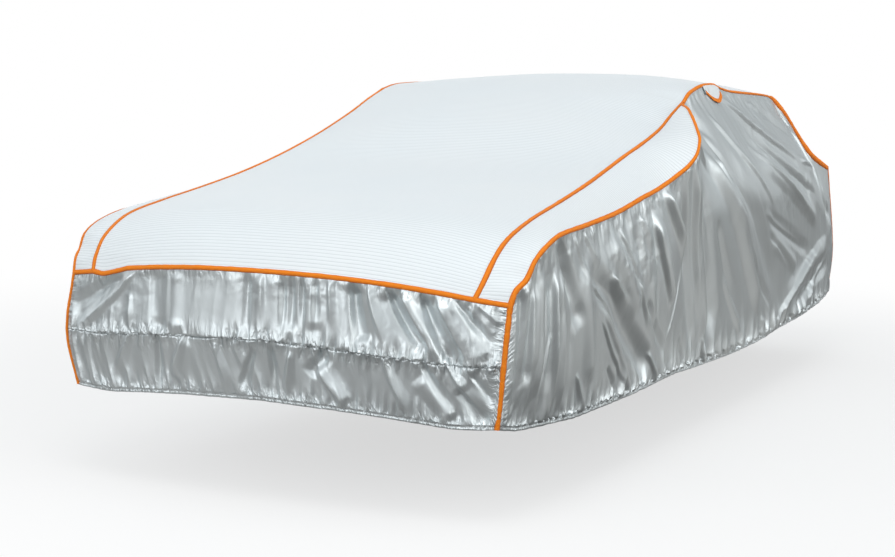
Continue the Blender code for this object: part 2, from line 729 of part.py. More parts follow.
def gore(side, seams, front_up):
    """The long tapering piece between the inner and the outer seam, which ends in a point."""
    to_inner, to_outer = EDGE * seams.inner_to_gore, EDGE * seams.outer_to_gore
    tips = meeting(seams.inner + to_inner, seams.outer + to_outer)
    kept = int(min(tips)) + 1
    share = np.array(GORE_SHARES)[:, None]
    rows = side.gore[:kept] + to_inner[:kept, None] * (1 - share) + to_outer[:kept, None] * share
    edge_up = front_up[-len(GORE_SHARES) :]
    rows[0, 1:-1] = side.gore[0, 1:-1] + EDGE * edge_up[1:-1]
    rows[0, 0] = corner(seams.inner[0], edge_up[0], seams.inner_to_gore[0])
    rows[0, -1] = corner(seams.outer[0], edge_up[-1], seams.outer_to_gore[0])
    tip = read_row(seams.inner + to_inner, tips[0]) + read_row(seams.outer + to_outer, tips[1])
    return sheet_mesh(list(rows) + [tip[None] / 2], PAD, GORE_WAY)


def inner_binding(seams, front_up):
    """The tape on the inner seam, cut to the front binding, and at its other end along the side binding."""
    outward = np.tile(GORE_WAY, (len(seams.inner), 1))
    lines = np.array(tape_rings(seams.inner, seams.inner_to_top, seams.inner_to_gore, outward))
    stop = seams.outer + (EDGE + GAP) * seams.outer_to_gore
    left, middle, right = (meeting(lines[:, k], stop)[0] for k in (0, 1, 2))
    ends = (left, middle, right, right, left)
    rings = []
    for row in range(len(lines)):
        rings.append([read_row(lines[:, k], min(row, end)) for k, end in enumerate(ends)])
    front_way = front_up[-len(GORE_SHARES)]
    rings[0] = cut_end(rings[0], seams.inner[0], front_way, unit(seams.inner[1] - seams.inner[0]))
    return tape_mesh(rings)


def top_panel(cover, sides, front_up, tail_up):
    j, beside = cover.junction, len(GORE_SHARES) - 1
    rows, first = cover.top.copy(), cover.front_top + EDGE * front_up[beside:-beside]
    tail = cover.tail_edge + EDGE * tail_up
    for seams in sides:
        rows, first, tail = seams.turn(rows), seams.turn(first), seams.turn(tail)
        to_rest = seams.to_rest[seams.corner_at + j : seams.tail_at]
        rows[1:-1, -1] += EDGE * np.concatenate([seams.inner_to_top[1:j], to_rest])
        front_way, tail_way = seams.turn(front_up)[-beside - 1], seams.turn(tail_up)[-1]
        first[-1] = corner(seams.inner[0], front_way, seams.inner_to_top[0])
        tail[-1] = corner(seams.line[seams.tail_at], seams.to_rest[seams.tail_at], tail_way)
        rows, first, tail = seams.turn(rows), seams.turn(first), seams.turn(tail)
    return sheet_mesh([first] + list(rows[1:-1]) + [tail], PAD, UPWARD)


def end_skirt(grid, sides, at_front, edge_down):
    """The front or the rear skirt, trimmed to the tapes round it."""
    rows, count = grid.copy(), len(grid)
    rows[0] += EDGE * edge_down
    for seams in sides:
        rows = seams.turn(rows)
        ways = seams.to_rest[:count][::-1] if at_front else seams.to_rest[-count:]
        rows[1:, -1] += EDGE * ways[1:]
        rows[0, -1] = corner(seams.turn(grid)[0, -1], ways[0], seams.turn(edge_down)[-1])
        rows = seams.turn(rows)
    return sheet_mesh(list(rows), FILM, FORWARD if at_front else REARWARD)


def cross_binding(edge, up_way, down_way, outward, left_way, right_way):
    """The tape across the front or the tail, cut to the two side tapes."""
    rings = tape_rings(edge, up_way, down_way, np.tile(outward, (len(edge), 1)))
    rings[0] = cut_end(rings[0], edge[0], right_way, unit(edge[1] - edge[0]))
    rings[-1] = cut_end(rings[-1], edge[-1], left_way, unit(edge[-2] - edge[-1]))
    return tape_mesh(rings)


def roof_tab(cover, seams):
    """The flap that hangs over the side from the roof edge, and the tape along its lower edge."""
    share = np.linspace(0, 1, TAB_STEPS + 1)
    where = TAB_START + (TAB_END - TAB_START) * share
    line = edge_line(LEFT.outer, where)
    index = np.searchsorted(cover.at, where)
    down = toward(line, line + seams.to_side[seams.corner_at + index])
    normal = unit(np.cross(unit(np.gradient(line, axis=0)), down))
    normal *= np.sign(normal[:, :1])
    depth = TAB_DEPTH * (TAB_LEAST + (1 - TAB_LEAST) * np.sin(np.pi * share))[:, None]
    rows = []
    for part in (0.0, 0.5, 1.0):
        lift = TAB_LIFT * (TAB_LEAST + (1 - TAB_LEAST) * part) + TAB_THICKNESS
        rows.append(line + down * (TAPE_HALF + 2 * GAP + depth * part) + normal * lift)
    way = toward(rows[-1], rows[-1] + down)
    edge = rows[-1] + way * (TAB_TAPE / 2 + 2 * GAP)
    half = way * TAB_TAPE / 2
    rings = [
        edge - half + normal * TAPE_EDGE_PROUD,
        edge + normal * TAPE_PROUD,
        edge + half + normal * TAPE_EDGE_PROUD,
        edge + half - normal * TAB_THICKNESS,
        edge - half - normal * TAB_THICKNESS,
    ]
    return sheet_mesh(rows, TAB_THICKNESS, SIDEWAYS), tape_mesh(np.stack(rings, axis=1))


# ---- Objects ----
def make_material(name, colour, roughness, metallic=0.0):
    material = bpy.data.materials.new(name)
    material.use_nodes = True
    shader = material.node_tree.nodes["Principled BSDF"]
    shader.inputs["Base Color"].default_value = colour
    shader.inputs["Roughness"].default_value = roughness
    shader.inputs["Metallic"].default_value = metallic
    return material


def add_object(name, mesh_data, material):
    points, faces = mesh_data
    mesh = bpy.data.meshes.new(name)
    mesh.from_pydata([tuple(p) for p in points], [], [tuple(int(v) for v in f) for f in faces])
    tidy = bmesh.new()
    tidy.from_mesh(mesh)
    bmesh.ops.remove_doubles(tidy, verts=tidy.verts, dist=MERGE)
    bmesh.ops.recalc_face_normals(tidy, faces=tidy.faces)
    tidy.to_mesh(mesh)
    tidy.free()
    mesh.shade_smooth()
    mesh.set_sharp_from_angle(angle=SHARP_ANGLE)
    mesh.materials.append(material)
    piece = bpy.data.objects.new(name, mesh)
    bpy.context.scene.collection.objects.link(piece)


def mirror_mesh(mesh_data):
    points, faces = mesh_data
    return mirrored(points), [tuple(reversed(face)) for face in faces]


def build():
    for old in list(bpy.data.objects):
        bpy.data.objects.remove(old, do_unlink=True)
    white = make_material("padded white", WHITE, 0.6)
    silver = make_material("silver film", SILVER, 0.38, 0.35)
    orange = make_material("orange tape", ORANGE, 0.65)

    cover = Cover()
    left = Seams(cover, cover.left, np.array)
    right = Seams(cover, cover.right, turned)
    sides = (left, right)
    front_up = toward(cover.front_edge, cover.behind_front_edge)
    front_down = toward(cover.front_edge, cover.front[1])
    tail_up = toward(cover.tail_edge, cover.before_tail_edge)
    tail_down = toward(cover.tail_edge, cover.rear[1])

    add_object("top_panel", top_panel(cover, sides, front_up, tail_up), white)
    add_object("front_skirt", end_skirt(cover.front, sides, True, front_down), silver)
    add_object("rear_skirt", end_skirt(cover.rear, sides, False, tail_down), silver)
    for name, side, seams, finish in (
        ("left", cover.left, left, tuple),
        ("right", cover.right, right, mirror_mesh),
    ):
        side_front_up = seams.turn(front_up)
        add_object("side_skirt_" + name, finish(side_skirt(side, seams)), silver)
        add_object("gore_" + name, finish(gore(side, seams, side_front_up)), white)
        add_object("side_binding_" + name, finish(side_binding(seams)), orange)
        add_object("inner_binding_" + name, finish(inner_binding(seams, side_front_up)), orange)
    for name, edge, up_way, down_way, outward, at in (
        ("front_binding", cover.front_edge, front_up, front_down, FRONT_SEAM_WAY, left.corner_at),
        ("rear_binding", cover.tail_edge, tail_up, tail_down, TAIL_SEAM_WAY, left.tail_at),
    ):
        ends = (left.to_rest[at], mirrored(right.to_rest[at]))
        add_object(name, cross_binding(edge, up_way, down_way, outward, *ends), orange)
    tab, tab_edge = roof_tab(cover, left)
    add_object("roof_tab_left", tab, white)
    add_object("roof_tab_edge_left", tab_edge, orange)


build()
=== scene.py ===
from collections import namedtuple

import bpy
import numpy as np
from mathutils import Matrix, Vector


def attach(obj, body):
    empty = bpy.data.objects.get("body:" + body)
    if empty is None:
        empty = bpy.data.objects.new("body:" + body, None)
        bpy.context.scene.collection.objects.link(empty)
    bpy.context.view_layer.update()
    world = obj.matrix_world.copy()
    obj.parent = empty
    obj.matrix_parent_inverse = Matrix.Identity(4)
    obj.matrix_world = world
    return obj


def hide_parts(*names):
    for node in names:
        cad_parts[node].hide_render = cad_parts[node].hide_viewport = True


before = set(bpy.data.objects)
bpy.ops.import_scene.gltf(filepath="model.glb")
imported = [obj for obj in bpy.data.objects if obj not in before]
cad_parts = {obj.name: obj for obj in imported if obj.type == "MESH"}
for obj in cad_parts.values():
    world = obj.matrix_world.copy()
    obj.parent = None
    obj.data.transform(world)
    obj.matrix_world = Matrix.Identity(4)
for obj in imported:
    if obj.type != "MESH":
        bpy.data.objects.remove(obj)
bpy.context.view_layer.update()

# ---- The camera, at the photograph's angle. The frame is taken to be 895 x 557. ----
CAMERA_AT = (2.861, -7.689, -0.117)
CAMERA_TURN = (25.13, -6.074, 1.216)  # yaw, pitch and roll, in degrees
FOCAL_PIXELS = 1710.8
FRAME_WIDTH = 895
SENSOR = 36.0


def new_object(name, data):
    made = bpy.data.objects.new(name, data)
    bpy.context.scene.collection.objects.link(made)
    return made


def make_camera():
    yaw, pitch, roll = np.radians(CAMERA_TURN)
    ahead = np.array([-np.sin(yaw) * np.cos(pitch), np.cos(yaw) * np.cos(pitch), np.sin(pitch)])
    level = np.cross(ahead, [0.0, 0.0, 1.0])
    level /= np.linalg.norm(level)
    above = np.cross(level, ahead)
    right = level * np.cos(roll) + above * np.sin(roll)
    up = above * np.cos(roll) - level * np.sin(roll)
    data = bpy.data.cameras.new("camera")
    data.sensor_width = SENSOR
    data.lens = FOCAL_PIXELS * SENSOR / FRAME_WIDTH
    data.clip_end = 200.0
    camera = new_object("camera", data)
    turn = np.eye(4)
    turn[:3, 0], turn[:3, 1], turn[:3, 2], turn[:3, 3] = right, up, -ahead, CAMERA_AT
    camera.matrix_world = Matrix(turn.tolist())
    bpy.context.scene.camera = camera


make_camera()


def rows_of(text):
    """Rows of numbers under a line that names their columns. Lengths are in metres."""
    head, *rows = text.strip().splitlines()
    kind = namedtuple("Row", head)
    return tuple(kind(*map(float, row.split())) for row in rows)


# ---- The top panel's middle line and the left side's lines, by station along the length ----
TOP_MIDDLE = rows_of(
    """
station back up round_power
0.00 0.000 0.785 2.3
0.08 0.060 0.850 2.5
0.17 0.150 0.914 3.0
0.30 0.290 0.962 3.4
0.75 0.740 1.020 3.0
1.05 1.040 1.052 2.6
1.30 1.290 1.100 2.6
1.80 1.790 1.290 2.8
2.20 2.200 1.410 3.0
2.50 2.500 1.448 3.0
3.00 3.000 1.475 2.8
3.50 3.500 1.466 2.8
3.90 3.900 1.436 2.8
4.15 4.130 1.360 2.8
4.35 4.330 1.190 2.6
4.50 4.480 1.105 2.6
4.75 4.760 1.040 2.6
"""
)
INNER_SEAM = rows_of(
    """
station back out up
0.00 0.077 0.718 0.733
0.08 0.112 0.731 0.785
0.17 0.172 0.738 0.848
0.30 0.300 0.737 0.914
0.50 0.500 0.725 0.957
0.75 0.730 0.717 0.995
1.05 1.010 0.710 1.045
1.55 1.480 0.700 1.145
1.95 1.890 0.700 1.240
2.08 2.040 0.700 1.298
2.20 2.180 0.700 1.347
"""
)
OUTER_SEAM = rows_of(
    """
station back out up
0.00 0.110 0.826 0.719
0.05 0.130 0.836 0.765
0.11 0.175 0.852 0.797
0.20 0.215 0.860 0.848
0.30 0.290 0.862 0.885
0.46 0.440 0.856 0.920
0.75 0.700 0.848 0.936
1.05 0.980 0.843 0.957
1.30 1.240 0.846 0.996
1.55 1.430 0.858 1.030
1.68 1.570 0.881 1.074
1.76 1.640 0.911 1.118
1.82 1.690 0.923 1.160
1.88 1.740 0.915 1.204
1.95 1.810 0.881 1.248
2.02 1.890 0.839 1.288
2.11 2.020 0.774 1.327
2.20 2.180 0.700 1.347
2.35 2.310 0.688 1.392
2.62 2.600 0.669 1.431
2.74 2.725 0.661 1.434
2.86 2.840 0.656 1.422
3.05 3.050 0.650 1.407
3.90 3.860 0.600 1.395
4.07 4.050 0.582 1.386
4.15 4.100 0.622 1.330
4.35 4.230 0.702 1.166
4.44 4.285 0.740 1.100
4.54 4.380 0.752 1.066
4.75 4.640 0.760 1.017
"""
)
BELT = rows_of(
    """
station back out up
0.00 0.098 0.814 0.525
0.22 0.235 0.856 0.590
0.46 0.440 0.870 0.650
0.75 0.700 0.874 0.680
1.30 1.230 0.876 0.700
1.80 1.700 0.880 0.800
2.20 2.140 0.876 0.880
3.50 3.440 0.868 0.900
3.90 3.830 0.862 0.880
4.25 4.140 0.850 0.800
4.52 4.360 0.844 0.660
4.64 4.490 0.828 0.600
4.75 4.660 0.800 0.560
"""
)
HEM = rows_of(
    """
station back out up
0.00 0.100 0.797 0.330
0.22 0.235 0.815 0.310
0.46 0.440 0.835 0.299
0.75 0.700 0.845 0.286
1.30 1.220 0.850 0.283
1.80 1.700 0.850 0.287
2.20 2.100 0.850 0.275
2.62 2.550 0.850 0.265
3.05 3.000 0.850 0.270
3.50 3.420 0.850 0.286
3.90 3.800 0.850 0.298
4.25 4.120 0.850 0.318
4.52 4.360 0.836 0.337
4.64 4.470 0.818 0.336
4.75 4.600 0.792 0.330
"""
)

# ---- How the right side hangs differently: what is added to the left side's rows ----
INNER_CHANGE = rows_of(
    """
station back out up
0.00 0.0 0.0 0.000
1.30 0.0 0.0 0.000
1.55 0.0 0.0 0.012
1.95 0.0 0.0 0.043
2.20 0.0 0.0 0.037
"""
)
OUTER_CHANGE = rows_of(
    """
station back out up
0.00 0.000 0.000 0.000
1.55 0.020 -0.002 0.000
1.68 0.030 -0.021 -0.024
1.76 0.040 -0.046 -0.050
1.82 0.050 -0.060 -0.072
1.88 0.060 -0.060 -0.094
1.95 0.060 -0.042 -0.098
2.02 0.070 -0.029 -0.078
2.11 0.040 -0.014 -0.037
2.20 0.000 0.000 0.037
2.35 0.000 0.000 0.016
2.62 0.000 0.000 -0.013
2.74 0.000 0.000 -0.019
2.86 0.000 0.000 -0.012
3.05 0.000 0.000 0.000
"""
)
BELT_CHANGE = rows_of(
    """
station back out up
0.00 0.0 0.034 0.0
0.22 0.0 0.020 0.0
0.75 0.0 0.000 0.0
1.50 0.0 0.000 0.0
1.85 0.0 -0.010 0.0
2.20 0.0 0.000 0.0
"""
)
HEM_CHANGE = rows_of(
    """
station back out up
0.00 0.0 0.004 0.0
0.75 0.0 0.000 0.0
"""
)

# ---- The front and rear skirts' lines, from the middle to the corner ----
FRONT_GATHER = rows_of(
    """
share ahead up
0.00 0.000 0.561
0.36 -0.004 0.549
0.62 -0.004 0.535
0.84 -0.002 0.524
1.00 0.000 0.525
"""
)
FRONT_HEM = rows_of(
    """
share ahead up
0.00 -0.024 0.360
0.36 -0.024 0.351
0.62 -0.020 0.338
0.84 -0.012 0.325
1.00 0.000 0.330
"""
)
REAR_GATHER = rows_of(
    """
share ahead up
0.00 -0.035 0.600
0.60 -0.025 0.580
1.00 0.000 0.560
"""
)
REAR_HEM = rows_of(
    """
share ahead up
0.00 -0.010 0.352
0.60 -0.008 0.342
1.00 0.000 0.330
"""
)

# ---- Where the front seam sags, close to the right corner ----
FRONT_SAG = rows_of(
    """
out drop
-0.718 0.000
-0.663 0.020
-0.608 0.013
-0.552 0.000
"""
)

# ---- Main folds: a ridge stands out, a trough sinks in, from one end to the other ----
SIDE_FOLDS = rows_of(
    """
from_along from_up to_along to_up half_width height
0.17 0.82 0.13 0.42 0.045 0.008
0.22 0.80 0.21 0.45 0.040 -0.009
0.27 0.82 0.28 0.42 0.040 0.009
0.34 0.80 0.36 0.42 0.045 -0.010
0.41 0.80 0.48 0.36 0.045 0.012
0.42 0.90 0.60 0.60 0.060 -0.018
0.62 0.80 0.74 0.40 0.070 0.014
0.70 0.78 1.40 0.34 0.085 -0.030
0.80 0.66 1.18 0.30 0.040 0.012
0.90 0.88 1.20 0.60 0.075 0.018
1.16 0.90 1.34 0.55 0.055 -0.010
1.36 0.94 1.58 0.58 0.060 0.020
1.47 1.02 1.72 0.74 0.055 0.014
1.62 0.98 1.90 0.36 0.060 -0.016
1.72 1.09 2.06 0.38 0.055 0.022
1.90 1.02 2.20 0.40 0.110 -0.030
2.10 1.18 2.92 0.42 0.070 0.030
2.40 1.15 3.20 0.50 0.100 -0.012
2.78 1.36 4.10 0.98 0.060 0.014
2.86 1.22 3.98 0.86 0.060 -0.016
2.95 1.10 4.00 0.76 0.060 0.016
2.98 0.84 3.86 0.62 0.055 -0.016
3.10 0.72 3.60 0.56 0.060 0.014
3.40 0.44 4.30 0.62 0.070 0.014
3.60 0.36 4.36 0.52 0.050 -0.014
4.20 0.90 4.50 0.74 0.070 -0.014
"""
)
FRONT_FOLDS = rows_of(
    """
from_along from_up to_along to_up half_width height
-0.56 0.74 -0.80 0.56 0.050 -0.012
-0.41 0.77 -0.40 0.55 0.045 -0.010
-0.33 0.77 -0.33 0.56 0.040 0.009
-0.05 0.78 -0.05 0.58 0.045 -0.008
0.10 0.78 0.11 0.60 0.045 -0.008
0.19 0.78 0.20 0.61 0.045 0.008
0.33 0.76 0.37 0.58 0.050 -0.012
0.44 0.75 0.57 0.56 0.050 -0.013
0.49 0.75 0.63 0.55 0.045 0.012
0.55 0.74 0.68 0.50 0.045 -0.012
0.62 0.73 0.76 0.54 0.045 0.011
0.25 0.54 0.18 0.46 0.040 -0.008
0.22 0.50 0.31 0.38 0.045 0.010
-0.29 0.54 -0.34 0.40 0.045 0.008
0.55 0.48 0.66 0.36 0.045 0.010
0.68 0.46 0.76 0.34 0.045 -0.010
"""
)
REAR_FOLDS = rows_of(
    """
from_along from_up to_along to_up half_width height
-0.62 0.98 -0.70 0.50 0.070 0.014
-0.40 1.02 -0.34 0.66 0.060 -0.012
-0.12 1.00 -0.20 0.60 0.070 0.010
0.16 1.02 0.22 0.66 0.060 -0.012
0.40 1.00 0.36 0.60 0.060 0.012
0.60 0.98 0.68 0.56 0.060 -0.012
"""
)

# ---- Creases: crisp ridges and troughs, finer than the main folds ----
SIDE_CREASES = rows_of(
    """
from_along from_up to_along to_up bend from_width to_width height lean
0.06 0.78 0.10 0.40 0.00 0.026 0.036 0.009 0.3
0.15 0.78 0.16 0.38 0.00 0.022 0.030 -0.009 0.0
0.23 0.78 0.24 0.36 0.00 0.024 0.036 0.010 0.4
0.31 0.78 0.33 0.36 0.00 0.020 0.026 -0.010 0.2
0.38 0.80 0.44 0.36 0.01 0.022 0.034 0.011 0.4
0.36 0.60 0.32 0.36 0.00 0.012 0.030 0.005 0.0
0.52 0.72 0.56 0.44 0.00 0.020 0.035 -0.007 0.2
0.43 0.92 0.58 0.70 0.01 0.030 0.050 -0.010 0.5
0.56 0.90 0.68 0.74 0.00 0.012 0.030 0.005 0.3
0.66 0.91 0.78 0.78 0.00 0.012 0.026 0.005 -0.2
0.72 0.74 1.04 0.55 -0.015 0.020 0.045 0.009 0.6
0.80 0.61 1.16 0.30 0.010 0.012 0.020 0.006 0.3
0.89 0.74 1.07 0.61 0.00 0.020 0.040 0.010 -0.4
1.02 0.90 1.20 0.72 0.010 0.015 0.030 0.007 0.5
1.17 0.71 1.34 0.51 0.00 0.020 0.040 0.009 0.4
1.22 0.93 1.34 0.80 0.00 0.012 0.030 0.006 -0.5
1.37 0.90 1.56 0.60 0.015 0.020 0.040 0.010 0.5
1.30 0.62 1.58 0.38 0.010 0.025 0.040 -0.009 0.2
1.47 1.02 1.69 0.79 0.010 0.032 0.040 0.012 0.1
1.54 0.45 1.69 0.76 0.020 0.010 0.010 0.004 0.0
1.62 1.02 1.78 0.66 0.00 0.025 0.030 -0.009 0.2
1.69 1.10 2.01 0.40 0.010 0.036 0.045 0.015 0.2
1.80 1.14 2.06 0.72 0.00 0.015 0.040 -0.010 -0.3
1.92 1.05 2.16 0.58 0.010 0.020 0.035 0.008 0.4
2.30 1.12 2.44 0.92 0.00 0.035 0.050 0.013 0.2
2.40 0.95 2.98 0.50 0.00 0.052 0.028 0.015 0.2
2.16 0.86 2.50 0.50 0.010 0.030 0.050 -0.012 0.3
2.24 1.24 2.80 0.84 0.020 0.020 0.040 -0.009 0.3
2.46 1.30 3.10 0.90 0.015 0.015 0.040 0.008 0.6
2.30 0.62 2.70 0.32 0.010 0.020 0.040 0.009 0.5
2.76 0.66 3.16 0.42 0.010 0.020 0.040 -0.008 0.3
2.75 1.39 3.78 1.08 0.020 0.020 0.030 0.009 0.6
3.76 1.08 4.20 1.03 0.00 0.025 0.040 0.008 0.6
3.02 1.23 4.03 0.89 0.015 0.020 0.035 -0.010 0.3
2.90 1.16 3.90 0.80 0.010 0.015 0.035 0.009 0.5
2.95 0.86 3.84 0.66 0.010 0.018 0.035 0.008 0.5
3.05 0.75 3.46 0.58 0.00 0.015 0.030 -0.008 0.3
3.22 0.29 4.34 0.65 -0.050 0.040 0.050 0.012 -0.4
3.92 0.36 4.28 0.54 -0.020 0.030 0.040 0.010 -0.3
3.46 1.32 3.99 1.18 -0.010 0.030 0.045 -0.012 0.0
3.30 1.36 3.80 1.24 0.00 0.012 0.030 0.006 0.4
2.06 1.36 2.40 1.20 0.00 0.030 0.050 -0.012 0.2
1.88 1.23 2.18 1.07 0.010 0.020 0.050 0.011 0.3
4.08 1.22 4.22 0.86 0.010 0.020 0.040 0.008 0.4
4.20 1.06 4.36 0.70 0.00 0.020 0.040 -0.008 0.3
4.34 0.96 4.52 0.62 0.010 0.015 0.035 0.007 0.5
0.62 0.44 0.72 0.30 0.00 0.015 0.030 0.006 0.3
0.92 0.42 1.04 0.29 0.00 0.015 0.030 -0.006 0.3
1.36 0.42 1.50 0.29 0.00 0.015 0.035 0.007 0.3
1.72 0.44 1.82 0.29 0.00 0.018 0.030 -0.007 0.3
2.02 0.40 2.14 0.28 0.00 0.018 0.035 0.007 0.3
2.96 0.38 3.16 0.27 0.00 0.020 0.035 0.007 0.3
3.46 0.40 3.62 0.29 0.00 0.020 0.035 -0.007 0.3
"""
)
FRONT_CREASES = rows_of(
    """
from_along from_up to_along to_up bend from_width to_width height lean
-0.52 0.76 -0.82 0.55 -0.020 0.025 0.050 0.010 -0.5
-0.60 0.74 -0.84 0.60 -0.010 0.020 0.035 -0.009 0.0
-0.43 0.78 -0.42 0.56 0.00 0.016 0.026 -0.004 0.2
-0.37 0.78 -0.38 0.56 0.00 0.018 0.030 0.0035 -0.3
-0.53 0.67 -0.53 0.56 0.00 0.012 0.022 0.004 0.0
-0.24 0.78 -0.25 0.62 0.00 0.012 0.026 0.002 0.3
-0.05 0.79 -0.05 0.58 0.00 0.014 0.022 -0.005 0.2
0.00 0.79 0.00 0.62 0.00 0.014 0.026 0.005 -0.3
0.08 0.79 0.085 0.59 0.00 0.012 0.018 -0.007 0.0
0.112 0.79 0.115 0.60 0.00 0.010 0.016 -0.005 0.0
0.150 0.79 0.156 0.60 0.00 0.010 0.018 -0.007 0.0
0.20 0.79 0.21 0.60 0.00 0.012 0.022 -0.007 0.2
0.25 0.78 0.27 0.62 0.00 0.012 0.022 0.006 0.4
0.33 0.78 0.365 0.57 0.005 0.020 0.030 -0.011 0.3
0.385 0.78 0.46 0.58 0.010 0.014 0.030 0.008 0.5
0.44 0.77 0.575 0.56 0.010 0.014 0.030 -0.010 0.3
0.49 0.77 0.64 0.54 0.010 0.014 0.030 0.010 0.6
0.55 0.76 0.69 0.49 0.010 0.014 0.032 -0.010 0.3
0.60 0.76 0.74 0.53 0.010 0.012 0.028 0.009 0.6
0.65 0.75 0.79 0.59 0.005 0.012 0.026 -0.009 0.2
0.71 0.74 0.81 0.66 0.00 0.010 0.020 0.006 0.4
0.25 0.55 0.18 0.46 0.00 0.016 0.035 -0.004 0.2
-0.41 0.54 -0.40 0.38 0.00 0.016 0.030 -0.008 0.2
-0.17 0.54 -0.12 0.40 0.00 0.014 0.030 0.007 0.3
-0.02 0.53 -0.07 0.39 0.00 0.014 0.030 -0.008 0.3
0.04 0.54 0.06 0.42 0.00 0.012 0.028 -0.008 0.3
0.12 0.53 0.10 0.40 0.00 0.014 0.030 0.008 0.3
0.20 0.54 0.34 0.37 0.020 0.014 0.030 0.009 0.4
-0.29 0.55 -0.35 0.40 0.00 0.014 0.030 0.008 0.3
-0.10 0.55 -0.02 0.42 0.00 0.014 0.040 0.005 0.3
-0.52 0.54 -0.60 0.38 0.00 0.016 0.040 0.006 0.3
0.44 0.54 0.54 0.36 0.010 0.014 0.030 0.008 0.4
0.56 0.53 0.70 0.36 0.010 0.014 0.030 -0.008 0.2
0.64 0.54 0.78 0.38 0.010 0.012 0.028 0.008 0.5
0.72 0.50 0.80 0.40 0.00 0.012 0.022 -0.006 0.2
"""
)
REAR_CREASES = rows_of(
    """
from_along from_up to_along to_up bend from_width to_width height lean
-0.68 0.98 -0.60 0.60 0.010 0.016 0.040 0.009 0.3
-0.56 0.99 -0.50 0.60 0.000 0.014 0.030 -0.008 0.2
-0.36 1.00 -0.28 0.60 0.010 0.014 0.036 0.008 0.4
-0.22 1.00 -0.24 0.62 0.000 0.012 0.030 -0.007 0.0
-0.05 1.01 -0.10 0.61 0.008 0.012 0.030 0.007 -0.3
0.08 1.01 0.06 0.61 0.000 0.012 0.026 -0.007 0.1
0.24 1.00 0.30 0.60 0.008 0.014 0.034 0.008 0.5
0.48 0.99 0.42 0.60 0.008 0.014 0.030 -0.009 0.2
0.56 0.99 0.62 0.60 0.008 0.014 0.032 0.009 0.4
0.70 0.97 0.74 0.62 0.000 0.010 0.024 0.006 0.3
-0.48 0.57 -0.54 0.40 0.000 0.014 0.036 0.007 0.2
0.14 0.58 0.20 0.41 0.000 0.014 0.036 0.007 0.2
0.50 0.57 0.60 0.40 0.008 0.014 0.032 -0.008 0.2
"""
)

# ---- Where the film is crumpled most ----
SIDE_PATCHES = rows_of(
    """
along up reach_along reach_up strength
0.98 0.78 0.16 0.09 1.0
1.28 0.78 0.14 0.10 0.9
0.46 0.86 0.10 0.06 0.7
1.86 1.16 0.14 0.08 0.7
3.16 1.22 0.20 0.10 0.8
4.10 1.28 0.10 0.06 0.9
3.80 1.00 0.30 0.10 0.5
"""
)
FRONT_PATCHES = rows_of(
    """
along up reach_along reach_up strength
0.64 0.60 0.16 0.10 0.7
-0.62 0.62 0.16 0.10 0.6
0.10 0.74 0.22 0.05 0.6
"""
)
REAR_PATCHES = rows_of(
    """
along up reach_along reach_up strength
0.10 0.88 0.40 0.10 0.6
"""
)

# ---- Sizes of the whole ----
REST_BACK = 3.0  # the frame's origin, back from the front seam and up from the ground
REST_UP = 1.471
ROOF_JUNCTION = 2.20
LENGTH = 4.75
GATHER_SHARE = 0.50
EVEN_REACH = 0.6
GORE_CROWN = 0.28 * np.array([0.3, 0.0, 0.95])
GORE_CROWN_START = 0.25
RIGHT_SIDE_SHIFT = 0.13
CORE_UP = -0.6
CORE_BACK_SHARE = 0.12
UPWARD = np.array([0.0, 0.0, 1.0])

# ---- How finely the sheets are cut up ----
Span = namedtuple("Span", "start end steps")
SPANS = (
    Span(0.00, 0.46, 92),
    Span(0.46, 2.20, 290),
    Span(2.20, 4.07, 170),
    Span(4.07, LENGTH, 78),
)
DOWN_STEPS = 136
SKIRT_DOWN = 96
FRONT_STEPS = 400
TAIL_STEPS = 260
TOP_STEPS = 72
TOP_EDGE_POWER = 1.25  # draws the top panel's points together towards its edges
GORE_STEPS = 24
HEM_EXTRA = (0.004, 0.010, 0.016, 0.022, 0.030)
GATHER_EXTRA = (-0.02, -0.012, -0.006, 0.0, 0.006, 0.012, 0.02)
SURFACE_NEAR = 0.02  # the share of the way down at which a seam's neighbour lies

# ---- Folds, creases and hems ----
FOLD_END = 0.2
CRISP = 0.80
CREASE_START = 0.20
CREASE_END = 0.55
CREASE_BOLD = 1.45
EDGE_EASE = 0.045  # how far from a tape the folds take to reach their full height
HEM_BAND = 0.010
HEM_ROLL = 0.0014
HEM_ROLL_TURNS = np.radians([50, 95, 140, 180])
HEM_TURN_UP = 0.016
HEM_RUFFLE = 0.0016

# ---- Side skirts: how much, at places along the cover ----
SLANT_ALONG = ([0.5, 1.6, 2.4, 3.4, 4.4], [0.0, 0.25, 0.60, 0.80, 0.30])
TUBES_ALONG = (
    [0.0, 0.45, 0.7, 1.1, 1.6, 2.2, 3.0, 4.7],
    [0.9, 0.9, 0.5, 0.7, 0.9, 0.6, 0.5, 0.8],
)
SEAM_GATHERS = (0.0016, (0.0020, 0.90, 0.40), (0.0010, 1.8, 0.3))
SIDE_PUCKERS = 0.5
SIDE_SEAM_SLACK = 16
SIDE_CRUMPLED = 0.55
SIDE_HEM = (0.0030, 0.026)  # how deep the hem's puckers are, and how far apart
REAR_CALM = (3.98, 0.12)  # where the film lies flatter, beside the rear edge's wide tape
CALM_REACH = 0.012
REAR_CALM_REACH = 0.110
REAR_CALM_SHARE = 0.75
REAR_CALM_DOWN = 0.16

